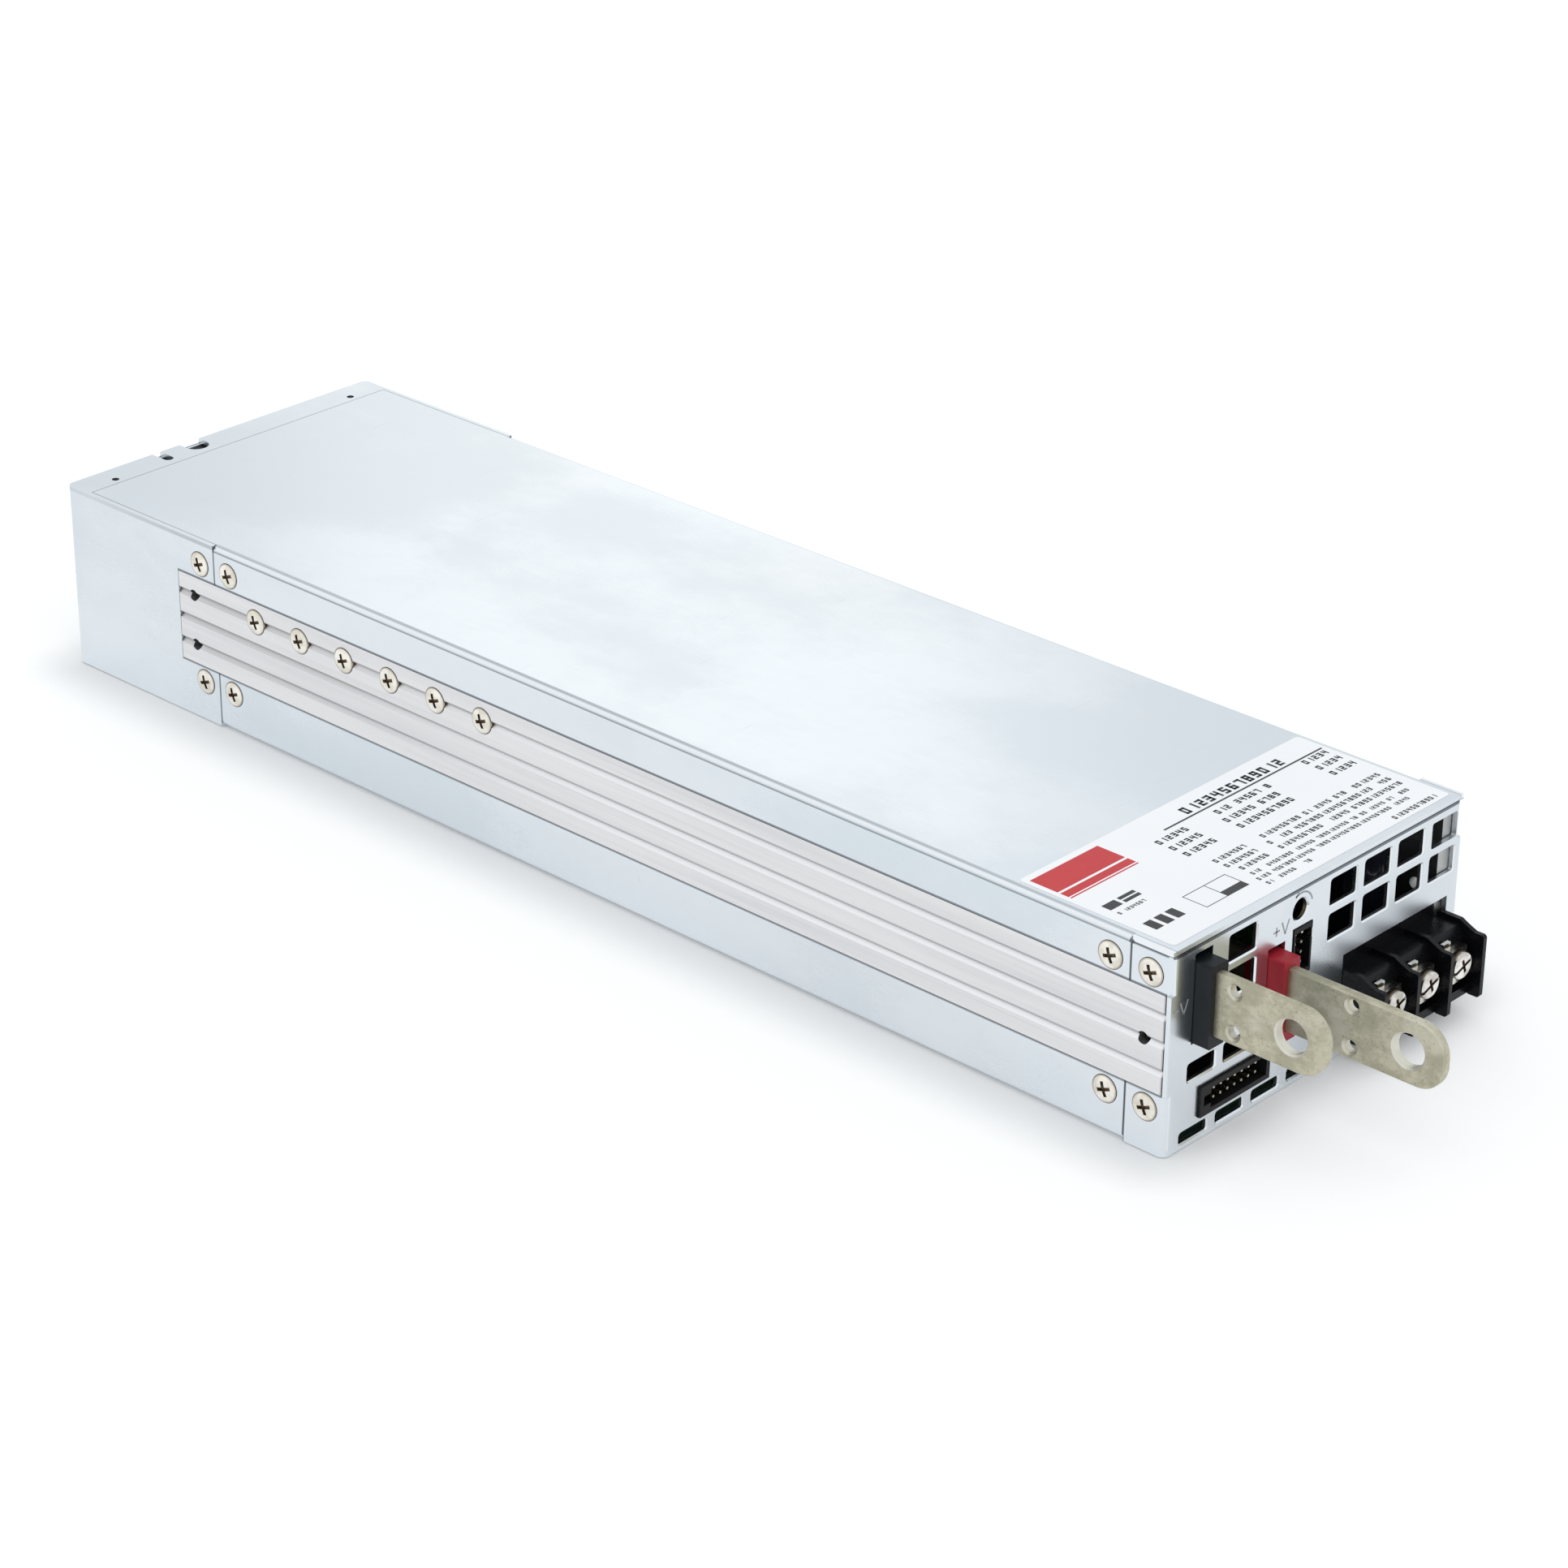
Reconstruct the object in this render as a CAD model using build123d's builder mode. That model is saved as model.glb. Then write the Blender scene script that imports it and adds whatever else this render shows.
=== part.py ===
"""Enclosed switching power supply, 1U high, with two rear fans and front output bars.

Millimetres. +Z is up, the terminals face -Y and the fans face +Y. The origin is the
centre of the case's bottom face.
"""
import os

from build123d import *

# Case
case_width = 85.0
case_length = 300.0
case_height = 41.0
sheet = 1.0
bend_radius = 1.6
seam_gap = 0.12
front_seam_inset = 9.2
rear_seam_inset = 47.6
top_strip_depth = 7.2
top_strip_hole_inset = 9.1
top_strip_hole_radius = 0.8
narrow_notch_x = -18.0
narrow_notch_width = 2.2
wide_notch_x = -8.8
wide_notch_width = 5.4
notch_depth = 5.2

# Side heatsinks
sink_height = 19.8
sink_centre_drop = 18.8
sink_thickness = 5.0
sink_rear_inset = 36.0
sink_end_gap = 0.2
lip_height = 6.4
lip_thickness = 3.2
groove_pitch = 5.6
groove_width = 1.5
groove_depth = 0.7
side_hole_radius = 1.25
side_hole_end_inset = 4.6

# Case and heatsink screws
screw_head_radius = 2.7
screw_head_crown = 0.5
screw_head_rim = 0.1
screw_shank_radius = 1.5
screw_shank_length = 2.6
screw_seam_distance = 4.5
screw_sink_distance = 3.5
cross_length = 3.0
cross_width = 0.7
cross_depth = 0.9
cross_angle = 20.0
thread_fit = 0.05
device_count = 6
device_pitch = 13.5
device_rear_inset = 127.7

# Front panel openings
vent_pitch_share = 0.12
vent_web = 2.4
vent_height = 5.3
vent_corner = 0.5
vent_rollover = 0.3
vent_pitch_z = 7.1
vent_top_drop = 5.6
right_vent_inset = 5.4
right_vent_columns = 4
vent_rows = 2
left_vent_inset = 19.8
slot_height = 3.5
slot_height_share = 0.361
foot_slot_count = 4
foot_slot_height = 2.2
foot_slot_z = 2.1
foot_slot_inset = 8.15
foot_slot_extra_pitch = 0.13
adjust_hole_radius = 2.1
trimmer_inset = 36.2
trimmer_drop = 5.4

# Output bars and their insulators
bar_thickness = 2.0
bar_height = 12.8
bar_corner = 5.6
bar_bolt_radius = 3.3
bar_tap_radius = 1.25
bar_tap_bevel = 0.45
bar_bolt_bevel = 0.4
bar_tap_spacing = 8.1
bar_bolt_to_tip = 7.6
bar_bolt_to_taps = 12.3
bar_inner_length = 34.0
bar_leg_width = 6.0
bar_first_leg = 12.0
bar_leg_count = 3
bar_leg_pitch = 11.0
bar_edge = 0.3
negative_bar_inset = 8.6
negative_bar_height_share = 0.7122
negative_bar_reach = 27.6
positive_bar_inset = 29.7
positive_bar_height_share = 0.5293
positive_bar_reach = 37.4
nose_reach = 3.6
nose_side = 1.3
nose_over = 1.4
nose_under = 2.2
nose_corner = 0.5
nose_inner_length = 4.0
panel_clearance = 0.15
slot_over_nose = 1.4
bar_clearance = 0.05

# Main board
board_thickness = 1.6
board_underside_z = 2.8
board_side_gap = 1.0
board_front_gap = 5.0
board_rear_gap = 3.0
film_thickness = 0.3
standoff_radius = 2.4
standoff_inset = 9.0

# Mains terminal block
pole_count = 3
pole_pitch = 10.2
barrier_thickness = 1.0
block_right_inset = 3.0
block_foot_z = 3.6
block_rear_depth = 5.2
block_rear_height = 20.6
roof_z = 17.0
roof_front = 4.0
seat_front = 5.2
ledge_front = 7.0
ledge_top_z = 5.4
barrier_top_z = 17.9
barrier_front = 9.6
barrier_foot_z = 3.3
barrier_step = 2.2
barrier_bulge = 0.5
barrier_corner = 0.7
plate_thickness = 0.8
plate_width = 6.0
plate_tab_width = 2.2
plate_shoulder_z = 14.2
plate_top_z = 16.0
plate_bottom_z = 6.6
terminal_screw_z = 11.6
terminal_thread_radius = 2.0
terminal_hole_clearance = 0.05
terminal_head_radius = 2.75
terminal_head_height = 1.8
terminal_head_round = 0.5
terminal_shank_length = 7.0
terminal_bore_depth = 6.4
clamp_thickness = 0.9
clamp_width = 6.4
clamp_under = 4.4
clamp_over = 2.6
clamp_gap = 0.05
clamp_corner = 1.6

# Signal headers, two rows of square pins on a 2 mm pitch
pin_pitch = 2.0
pin_size = 0.5
shroud_wall = 1.0
shroud_depth = 7.0
header_key_width = 2.0
output_header_pins = 7
output_header_inset = 20.1
output_header_rise = 0.2
output_header_height = 6.0
output_header_latch = 1.9
output_header_proud = 0.6
control_header_pins = 4
control_header_inset = 37.2
control_header_drop = 13.9
control_header_width = 5.4
control_header_proud = 0.2
control_header_key_rise = 2.6
header_fit = 0.15

# Control board behind the front panel
control_board_gap = 6.0
control_board_thickness = 1.2
control_board_width = 11.4
control_board_inset = 37.9
control_board_top_gap = 2.2

# Voltage trimmer
trimmer_body_size = 6.0
trimmer_body_depth = 3.6
trimmer_pocket_depth = 1.2
trimmer_rotor_radius = 1.7
trimmer_rotor_length = 2.2
trimmer_slot_width = 0.6
trimmer_slot_depth = 0.5
trimmer_clearance = 0.05

# Fans
fan_play = 1.0
fan_depth = 28.0
fan_side_room = 0.5
fan_corner = 3.5
fan_flange = 3.4
fan_bore_wall = 1.4
fan_wall = 1.2
fan_screw_inset = 3.0
fan_screw_radius = 1.5
fan_hole_clearance = 0.1
fan_hub_share = 0.276
fan_hub_wall = 1.2
fan_hub_depth = 21.0
fan_blade_count = 5
fan_blade_thickness = 1.1
fan_blade_chord = 16.0
fan_blade_camber = 1.6
fan_blade_root_depth = 0.5
fan_blade_pitch_angle = 38.0
fan_tip_gap = 0.6
fan_end_gap = 1.5
fan_shaft_radius = 1.5
fan_bearing_radius = 3.6
fan_bearing_length = 17.0
fan_shaft_clearance = 0.05
fan_arm_count = 4
fan_arm_width = 2.4
fan_arm_thickness = 2.0
guard_ring_count = 4
guard_ring_pitch_share = 0.1026
guard_ring_slot = 2.5
guard_spoke_width = 2.2
guard_inner_radius = 4.0

# Rating label on the top cover
label_length = 35.0
label_side_margin = 2.1
label_front_margin = 1.6
label_thickness = 0.1
label_corner = 0.8

# Inner components
device_width = 10.4
device_height = 15.6
device_thickness = 4.6
device_over_hole = 3.0
device_lead_width = 1.0
device_lead_pitch = 2.54
transformer_x = 0.0
transformer_rear_inset = 164.0
transformer_length = 22.0
transformer_width = 40.0
transformer_height = 31.0
line_choke_side_inset = 22.5
line_choke_front_inset = 50.0
line_choke_length = 16.0
line_choke_width = 26.0
line_choke_height = 26.0
core_leg = 5.5
winding_gap = 0.4
winding_overhang = 5.0
output_choke_side_inset = 23.5
output_choke_front_inset = 70.0
output_choke_radius = 12.0
boost_choke_side_inset = 30.5
boost_choke_rear_inset = 123.0
boost_choke_radius = 15.0
choke_hole_share = 0.45
choke_height = 13.0
turn_wire = 1.5
turn_gap = 0.2
turn_count = 12
bulk_radius = 14.5
bulk_length = 42.0
bulk_side_inset = 33.5
bulk_rear_inset = 56.0
bulk_pitch = 31.0
bulk_count = 2
bulk_bevel = 1.2
output_can_radius = 4.0
output_can_height = 25.0
output_can_side_inset = 19.1
output_can_front_inset = 33.0
output_can_pitch_x = 9.0
output_can_pitch_y = 10.0
output_can_columns = 2
output_can_rows = 4
inlet_can_side_inset = 10.5
inlet_can_front_inset = 14.4
inlet_can_radius = 5.0
inlet_can_roof_gap = 3.5
can_bevel = 0.6
film_capacitor_length = 26.0
film_capacitor_width = 10.0
film_capacitor_height = 19.0
film_capacitor_side_inset = 22.5
film_capacitor_front_inset = 84.0
fuse_x = 3.5
fuse_front_inset = 23.0
fuse_length = 22.0
fuse_radius = 2.6
fuse_cap_length = 5.0
fuse_cap_wall = 0.3
relay_x = -4.0
relay_front_inset = 46.0
relay_length = 20.0
relay_width = 12.0
relay_height = 15.0
relay_corner = 0.8
seat_gap = 0.1

# Worked out from the sizes above
half_width = case_width / 2
front_y = -case_length / 2
rear_y = case_length / 2
panel_inner_y = front_y + sheet
rear_inner_y = rear_y - sheet
front_seam_y = front_y + front_seam_inset
rear_seam_y = rear_y - rear_seam_inset
strip_seam_y = rear_y - top_strip_depth
sink_centre_z = case_height - sink_centre_drop
sink_rear_y = rear_y - sink_rear_inset
sink_front_y = panel_inner_y + sink_end_gap
sink_top_z = sink_centre_z + sink_height / 2
sink_bottom_z = sink_centre_z - sink_height / 2
upper_flange_z = sink_top_z + seam_gap
lower_flange_z = sink_bottom_z - seam_gap
roof_inner_z = case_height - sheet
board_top_z = board_underside_z + board_thickness
board_half_width = half_width - sink_thickness - board_side_gap
board_front_y = front_y + board_front_gap
board_rear_y = sink_rear_y - board_rear_gap
upper_screw_z = sink_top_z + screw_sink_distance
lower_screw_z = sink_bottom_z - screw_sink_distance
groove_top_z = sink_centre_z + groove_pitch
groove_low_z = sink_centre_z - groove_pitch
device_ys = [rear_y - device_rear_inset + device_pitch * place for place in range(device_count)]
seam_screw_ys = [
    front_seam_y - screw_seam_distance,
    front_seam_y + screw_seam_distance,
    rear_seam_y - screw_seam_distance,
    rear_seam_y + screw_seam_distance,
]
vent_pitch_x = case_width * vent_pitch_share
vent_width = vent_pitch_x - vent_web
vent_top_z = case_height - vent_top_drop
right_vent_last_x = half_width - right_vent_inset
left_vent_x = left_vent_inset - half_width
slot_z = case_height * slot_height_share
foot_slot_first_x = foot_slot_inset - half_width
foot_slot_pitch = vent_pitch_x + foot_slot_extra_pitch
trimmer_x = trimmer_inset - half_width
trimmer_z = case_height - trimmer_drop
negative_bar_x = negative_bar_inset - half_width
negative_bar_z = case_height * negative_bar_height_share
positive_bar_x = positive_bar_inset - half_width
positive_bar_z = case_height * positive_bar_height_share
output_header_x = output_header_inset - half_width
control_header_x = control_header_inset - half_width
control_header_z = case_height - control_header_drop
control_board_centre_x = control_board_inset - half_width
block_right_x = half_width - block_right_inset
pole_xs = [
    block_right_x - barrier_thickness / 2 - pole_pitch * (pole_count - place - 0.5)
    for place in range(pole_count)
]
barrier_xs = [
    block_right_x - barrier_thickness / 2 - pole_pitch * (pole_count - place)
    for place in range(pole_count + 1)
]
block_left_x = barrier_xs[0] - barrier_thickness / 2
seat_y = front_y - seat_front
plate_front_y = seat_y - plate_thickness
clamp_front_y = plate_front_y - clamp_gap - clamp_thickness
control_board_y = panel_inner_y + control_board_gap
output_header_width = pin_pitch * (output_header_pins + 1) + 2 * shroud_wall
output_header_z = board_top_z + output_header_rise + output_header_height / 2
control_header_height = pin_pitch * control_header_pins + 2 * shroud_wall
block_rear_y = front_y + block_rear_depth
fan_centre_z = case_height / 2
fan_pitch = half_width - sheet - fan_side_room
fan_size = min(half_width - sheet, case_height - 2 * sheet) - fan_play
fan_bore_radius = fan_size / 2 - fan_bore_wall
fan_screw_spacing = fan_size - 2 * fan_screw_inset
fan_hub_radius = fan_size * fan_hub_share
guard_ring_pitch = fan_size * guard_ring_pitch_share
fan_xs = [-fan_pitch / 2, fan_pitch / 2]
fan_rear_y = rear_inner_y - seam_gap
fan_front_y = fan_rear_y - fan_depth
top_strip_hole_x = half_width - top_strip_hole_inset
transformer_y = rear_y - transformer_rear_inset
line_choke_x = half_width - line_choke_side_inset
line_choke_y = front_y + line_choke_front_inset
output_choke_x = output_choke_side_inset - half_width
output_choke_y = front_y + output_choke_front_inset
boost_choke_x = half_width - boost_choke_side_inset
boost_choke_y = rear_y - boost_choke_rear_inset
bulk_x = half_width - bulk_side_inset
bulk_last_y = rear_y - bulk_rear_inset
output_can_x = output_can_side_inset - half_width
output_can_y = front_y + output_can_front_inset
inlet_can_x = half_width - inlet_can_side_inset
inlet_can_y = front_y + inlet_can_front_inset
inlet_can_top_z = roof_inner_z - inlet_can_roof_gap
film_capacitor_x = half_width - film_capacitor_side_inset
film_capacitor_y = front_y + film_capacitor_front_inset
fuse_y = front_y + fuse_front_inset
relay_y = front_y + relay_front_inset
os.makedirs("parts", exist_ok=True)


def save(part, name):
    """Label one finished piece and write it to its own file."""
    part.label = name
    export_step(part, f"parts/{name}.step")


def block(x_span, y_span, z_span, mode=Mode.ADD):
    """A box between two limits along each axis, in the part being built."""
    spans = (x_span, y_span, z_span)
    middle = [(low + high) / 2 for low, high in spans]
    with Locations(tuple(middle)):
        Box(*[high - low for low, high in spans], mode=mode)


def side_plane(x, side):
    """A plane across X whose normal points out of the case on the given side."""
    return Plane(origin=(x, 0, 0), x_dir=(0, side, 0), z_dir=(side, 0, 0))


def bent_corner_plan(y_face, y_end, outward):
    """Plan of a panel with both ends folded back, drawn in XY and kept open inside."""
    with BuildSketch() as plan:
        with BuildLine():
            Polyline(
                (-half_width, y_end),
                (-half_width, y_face),
                (half_width, y_face),
                (half_width, y_end),
                close=True,
            )
        make_face()
        outer_corners = plan.vertices().group_by(Axis.Y)[0 if outward < 0 else -1]
        fillet(outer_corners, bend_radius)
        with BuildLine():
            Polyline(
                (-half_width + sheet, y_end),
                (-half_width + sheet, y_face - outward * sheet),
                (half_width - sheet, y_face - outward * sheet),
                (half_width - sheet, y_end),
                close=True,
            )
        make_face(mode=Mode.SUBTRACT)
    return plan.sketch


# Front panel: a face with four side tabs, and every opening punched in one stroke
front_plan = bent_corner_plan(front_y, front_seam_y - seam_gap / 2, -1)
face_top_z = roof_inner_z - seam_gap
with BuildPart() as front_panel:
    with BuildSketch(Plane.XY.offset(upper_flange_z)):
        add(front_plan)
    extrude(amount=face_top_z - upper_flange_z)
    with BuildSketch(Plane.XY):
        add(front_plan)
    extrude(amount=lower_flange_z)
    block((-half_width, half_width), (front_y, panel_inner_y), (lower_flange_z, upper_flange_z))
    with BuildSketch(Plane.XZ.offset(-front_y)) as front_openings:
        vent_centre_x = right_vent_last_x - vent_pitch_x * (right_vent_columns - 1) / 2
        vent_centre_z = vent_top_z - vent_pitch_z * (vent_rows - 1) / 2
        with Locations((vent_centre_x, vent_centre_z)):
            with GridLocations(vent_pitch_x, vent_pitch_z, right_vent_columns, vent_rows):
                RectangleRounded(vent_width, vent_height, vent_corner)
        with Locations((left_vent_x, vent_centre_z)):
            with GridLocations(vent_pitch_x, vent_pitch_z, 1, vent_rows):
                RectangleRounded(vent_width, vent_height, vent_corner)
        with Locations((left_vent_x - vent_pitch_x / 2, slot_z)):
            with GridLocations(vent_pitch_x, vent_pitch_z, 2, 1):
                RectangleRounded(vent_width, slot_height, vent_corner)
        foot_slot_middle = foot_slot_first_x + foot_slot_pitch * (foot_slot_count - 1) / 2
        with Locations((foot_slot_middle, foot_slot_z)):
            with GridLocations(foot_slot_pitch, vent_pitch_z, foot_slot_count, 1):
                RectangleRounded(vent_width, foot_slot_height, vent_corner)
        with Locations((trimmer_x, trimmer_z)):
            Circle(adjust_hole_radius)
    extrude(amount=-sheet, mode=Mode.SUBTRACT)
    punched = front_panel.faces().filter_by(Axis.Y).group_by(Axis.Y)[0]
    rims = [wire for face in punched for wire in face.inner_wires()]
    chamfer([edge for wire in rims for edge in wire.edges()], vent_rollover)
    # Openings that fit round the bars, the terminal block and the two headers
    for bar_x, bar_z in ((negative_bar_x, negative_bar_z), (positive_bar_x, positive_bar_z)):
        reach = bar_thickness / 2 + nose_side + panel_clearance
        block(
            (bar_x - reach, bar_x + reach),
            (front_y - sheet, panel_inner_y + sheet),
            (
                bar_z - bar_height / 2 - nose_under - panel_clearance,
                bar_z + bar_height / 2 + nose_over + slot_over_nose,
            ),
            Mode.SUBTRACT,
        )
    block(
        (block_left_x - header_fit, block_right_x + header_fit),
        (front_y - sheet, panel_inner_y + sheet),
        (barrier_foot_z - header_fit, block_rear_height + 2 * header_fit),
        Mode.SUBTRACT,
    )
    block(
        (
            output_header_x - output_header_width / 2 - output_header_latch - header_fit,
            output_header_x + output_header_width / 2 + header_fit,
        ),
        (front_y - sheet, panel_inner_y + sheet),
        (
            output_header_z - output_header_height / 2 - header_fit,
            output_header_z + output_header_height / 2 + header_fit,
        ),
        Mode.SUBTRACT,
    )
    block(
        (
            control_header_x - control_header_width / 2 - header_fit,
            control_header_x + control_header_width / 2 + header_fit,
        ),
        (front_y - sheet, panel_inner_y + sheet),
        (
            control_header_z - control_header_height / 2 - header_fit,
            control_header_z + control_header_height / 2 + header_fit,
        ),
        Mode.SUBTRACT,
    )
    # Countersinks for the four tab screws
    for side in (-1, 1):
        with Locations(side_plane(side * half_width, side)):
            with Locations(
                (side * seam_screw_ys[0], upper_screw_z), (side * seam_screw_ys[0], lower_screw_z)
            ):
                Hole(screw_head_radius + seam_gap, depth=sheet)
save(front_panel.part, "front_panel")

# Rear panel: two fan grilles stamped in its face, long side walls notched for the
# heatsinks, and a strip folded over the top and under the bottom
rear_plan = bent_corner_plan(rear_y, rear_seam_y + seam_gap / 2, 1)
with BuildPart() as rear_panel:
    with BuildSketch(Plane.XY):
        add(rear_plan)
    extrude(amount=case_height)
    for strip_z in (0, roof_inner_z):
        block(
            (-half_width + sheet, half_width - sheet),
            (strip_seam_y, rear_inner_y),
            (strip_z, strip_z + sheet),
        )
    block(
        (-case_width, case_width),
        (rear_seam_y - sheet, sink_rear_y + seam_gap),
        (lower_flange_z, upper_flange_z),
        Mode.SUBTRACT,
    )
    with BuildSketch(Plane.XZ.offset(-rear_y)) as fan_grilles:
        with Locations(*[(x, fan_centre_z) for x in fan_xs]):
            for ring in reversed(range(guard_ring_count)):
                ring_radius = guard_inner_radius + guard_ring_pitch * ring
                Circle(ring_radius + guard_ring_slot / 2)
                Circle(ring_radius - guard_ring_slot / 2, mode=Mode.SUBTRACT)
        spoke_length = 2 * (guard_inner_radius + guard_ring_pitch * guard_ring_count)
        with Locations(*[(x, fan_centre_z) for x in fan_xs]):
            for angle in (45, 135):
                Rectangle(spoke_length, guard_spoke_width, rotation=angle, mode=Mode.SUBTRACT)
        screw_offset = fan_screw_spacing / 2
        with Locations(*[(x, fan_centre_z) for x in fan_xs]):
            with GridLocations(fan_screw_spacing, fan_screw_spacing, 2, 2):
                Circle(screw_head_radius + seam_gap)
    extrude(amount=sheet, mode=Mode.SUBTRACT)
    with BuildSketch(Plane.XY.offset(case_height)) as strip_openings:
        strip_hole_y = strip_seam_y + 2 * sheet
        with Locations((-top_strip_hole_x, strip_hole_y), (top_strip_hole_x, strip_hole_y)):
            Circle(top_strip_hole_radius)
        for notch_x, notch_width in (
            (narrow_notch_x, narrow_notch_width),
            (wide_notch_x, wide_notch_width),
        ):
            with Locations((notch_x, rear_y)):
                Rectangle(notch_width, 2 * (notch_depth - notch_width / 2))
            with Locations((notch_x, rear_y - notch_depth + notch_width / 2)):
                Circle(notch_width / 2)
    extrude(amount=-sheet, mode=Mode.SUBTRACT)
    for side in (-1, 1):
        with Locations(side_plane(side * half_width, side)):
            with Locations(
                (side * seam_screw_ys[3], upper_screw_z), (side * seam_screw_ys[3], lower_screw_z)
            ):
                Hole(screw_head_radius + seam_gap, depth=sheet)
save(rear_panel.part, "rear_panel")


def build_cover(outer_z, direction, name, plate_front, plate_half_width):
    """A channel-shaped cover: a plate with both flanges folded towards the heatsinks.

    direction is -1 for flanges that hang down from the top and +1 for flanges that
    stand up from the bottom. The plate runs on past the flanges, to plate_front.
    """
    flange_end_z = upper_flange_z if direction < 0 else lower_flange_z
    flange_front_y = front_seam_y + seam_gap / 2
    flange_rear_y = rear_seam_y - seam_gap / 2
    inner_x = half_width - sheet
    inner_z = outer_z + direction * sheet
    with BuildPart() as cover:
        with BuildSketch(Plane.XZ.offset(-flange_rear_y)) as channel:
            with BuildLine():
                Polyline(
                    (-half_width, flange_end_z),
                    (-half_width, outer_z),
                    (half_width, outer_z),
                    (half_width, flange_end_z),
                    (inner_x, flange_end_z),
                    (inner_x, inner_z),
                    (-inner_x, inner_z),
                    (-inner_x, flange_end_z),
                    close=True,
                )
            make_face()
            folds = [point for point in channel.vertices() if abs(point.Y - outer_z) < sheet / 2]
            fillet(folds, bend_radius)
        extrude(amount=flange_rear_y - flange_front_y)
        plate_z = (min(outer_z, inner_z), max(outer_z, inner_z))
        rear_part = (flange_rear_y, strip_seam_y - seam_gap)
        block((-half_width + sheet + seam_gap, half_width - sheet - seam_gap), rear_part, plate_z)
        block((-plate_half_width, plate_half_width), (plate_front, flange_front_y), plate_z)
        for side in (-1, 1):
            screw_z = upper_screw_z if direction < 0 else lower_screw_z
            with Locations(side_plane(side * half_width, side)):
                with Locations(
                    (side * seam_screw_ys[1], screw_z), (side * seam_screw_ys[2], screw_z)
                ):
                    Hole(screw_head_radius + seam_gap, depth=sheet)
    save(cover.part, name)
    return cover.part


build_cover(case_height, -1, "top_cover", front_y, half_width)
build_cover(0, 1, "bottom_cover", panel_inner_y + seam_gap, half_width - sheet - seam_gap)


def build_heatsink(side, name):
    """An extruded side bar with three V grooves outside and two lips inside the sheet."""
    outer_x = side * half_width
    lip_outer_x = outer_x - side * sheet
    inner_x = outer_x - side * sink_thickness
    lip_inner_x = lip_outer_x - side * lip_thickness
    with BuildPart() as heatsink:
        with BuildSketch(Plane.XZ.offset(-sink_rear_y)) as section:
            with BuildLine():
                Polyline(
                    (outer_x, sink_bottom_z),
                    (outer_x, sink_top_z),
                    (lip_outer_x, sink_top_z),
                    (lip_outer_x, sink_top_z + lip_height),
                    (lip_inner_x, sink_top_z + lip_height),
                    (lip_inner_x, sink_top_z),
                    (inner_x, sink_top_z - sheet),
                    (inner_x, sink_bottom_z + sheet),
                    (lip_inner_x, sink_bottom_z),
                    (lip_inner_x, sink_bottom_z - lip_height),
                    (lip_outer_x, sink_bottom_z - lip_height),
                    (lip_outer_x, sink_bottom_z),
                    close=True,
                )
            make_face()
            for groove in (-1, 0, 1):
                groove_z = sink_centre_z + groove * groove_pitch
                with BuildLine():
                    Polyline(
                        (outer_x, groove_z + groove_width / 2),
                        (outer_x - side * groove_depth, groove_z),
                        (outer_x, groove_z - groove_width / 2),
                        close=True,
                    )
                make_face(mode=Mode.SUBTRACT)
        extrude(amount=sink_rear_y - sink_front_y)
        lips = side_plane(lip_outer_x, side)
        with Locations(lips):
            with Locations(
                *[(side * y, z) for y in seam_screw_ys for z in (lower_screw_z, upper_screw_z)]
            ):
                Hole(screw_shank_radius + thread_fit, depth=lip_thickness)
        face = side_plane(outer_x, side)
        with Locations(face):
            with Locations(*[(side * y, groove_top_z) for y in device_ys]):
                CounterBoreHole(
                    screw_shank_radius + thread_fit,
                    screw_head_radius + seam_gap,
                    sheet,
                    depth=sink_thickness,
                )
            with Locations(
                (side * (sink_rear_y - side_hole_end_inset), groove_top_z),
                (side * (sink_rear_y - side_hole_end_inset), groove_low_z),
                (side * (sink_front_y + side_hole_end_inset), sink_centre_z),
            ):
                Hole(side_hole_radius, depth=sink_thickness)
    save(heatsink.part, name)


build_heatsink(-1, "left_heatsink")
build_heatsink(1, "right_heatsink")


def build_screws(name, side, places, shank_length):
    """Cross-recess screws whose heads sit in the side face, one solid for each place."""
    crown_x = half_width + screw_head_crown
    rim_x = half_width + screw_head_rim
    with BuildPart() as screw:
        with BuildSketch(Plane.XZ) as half_profile:
            with BuildLine():
                Line((half_width - sheet - shank_length, 0), (crown_x, 0))
                ThreePointArc(
                    (crown_x, 0),
                    (rim_x + (screw_head_crown - screw_head_rim) * 3 / 4, screw_head_radius / 2),
                    (rim_x, screw_head_radius),
                )
                Line((rim_x, screw_head_radius), (half_width - sheet, screw_head_radius))
                Line((half_width - sheet, screw_head_radius), (half_width - sheet, screw_shank_radius))
                Line(
                    (half_width - sheet, screw_shank_radius),
                    (half_width - sheet - shank_length, screw_shank_radius),
                )
                Line(
                    (half_width - sheet - shank_length, screw_shank_radius),
                    (half_width - sheet - shank_length, 0),
                )
            make_face()
        revolve(axis=Axis.X)
        with BuildSketch(Plane.YZ.offset(crown_x)):
            Rectangle(cross_length, cross_width, rotation=cross_angle)
            Rectangle(cross_width, cross_length, rotation=cross_angle)
        extrude(amount=-cross_depth, mode=Mode.SUBTRACT)
    turned = screw.part if side > 0 else Rot(0, 0, 180) * screw.part
    save(Compound(children=[Pos(0, y, z) * turned for y, z in places]), name)


case_screw_places = [(y, z) for y in seam_screw_ys for z in (lower_screw_z, upper_screw_z)]
device_screw_places = [(y, groove_top_z) for y in device_ys]
for side, side_name in ((-1, "left"), (1, "right")):
    build_screws(f"{side_name}_case_screws", side, case_screw_places, screw_shank_length)
    build_screws(
        f"{side_name}_heatsink_screws", side, device_screw_places, sink_thickness + sheet
    )

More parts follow.
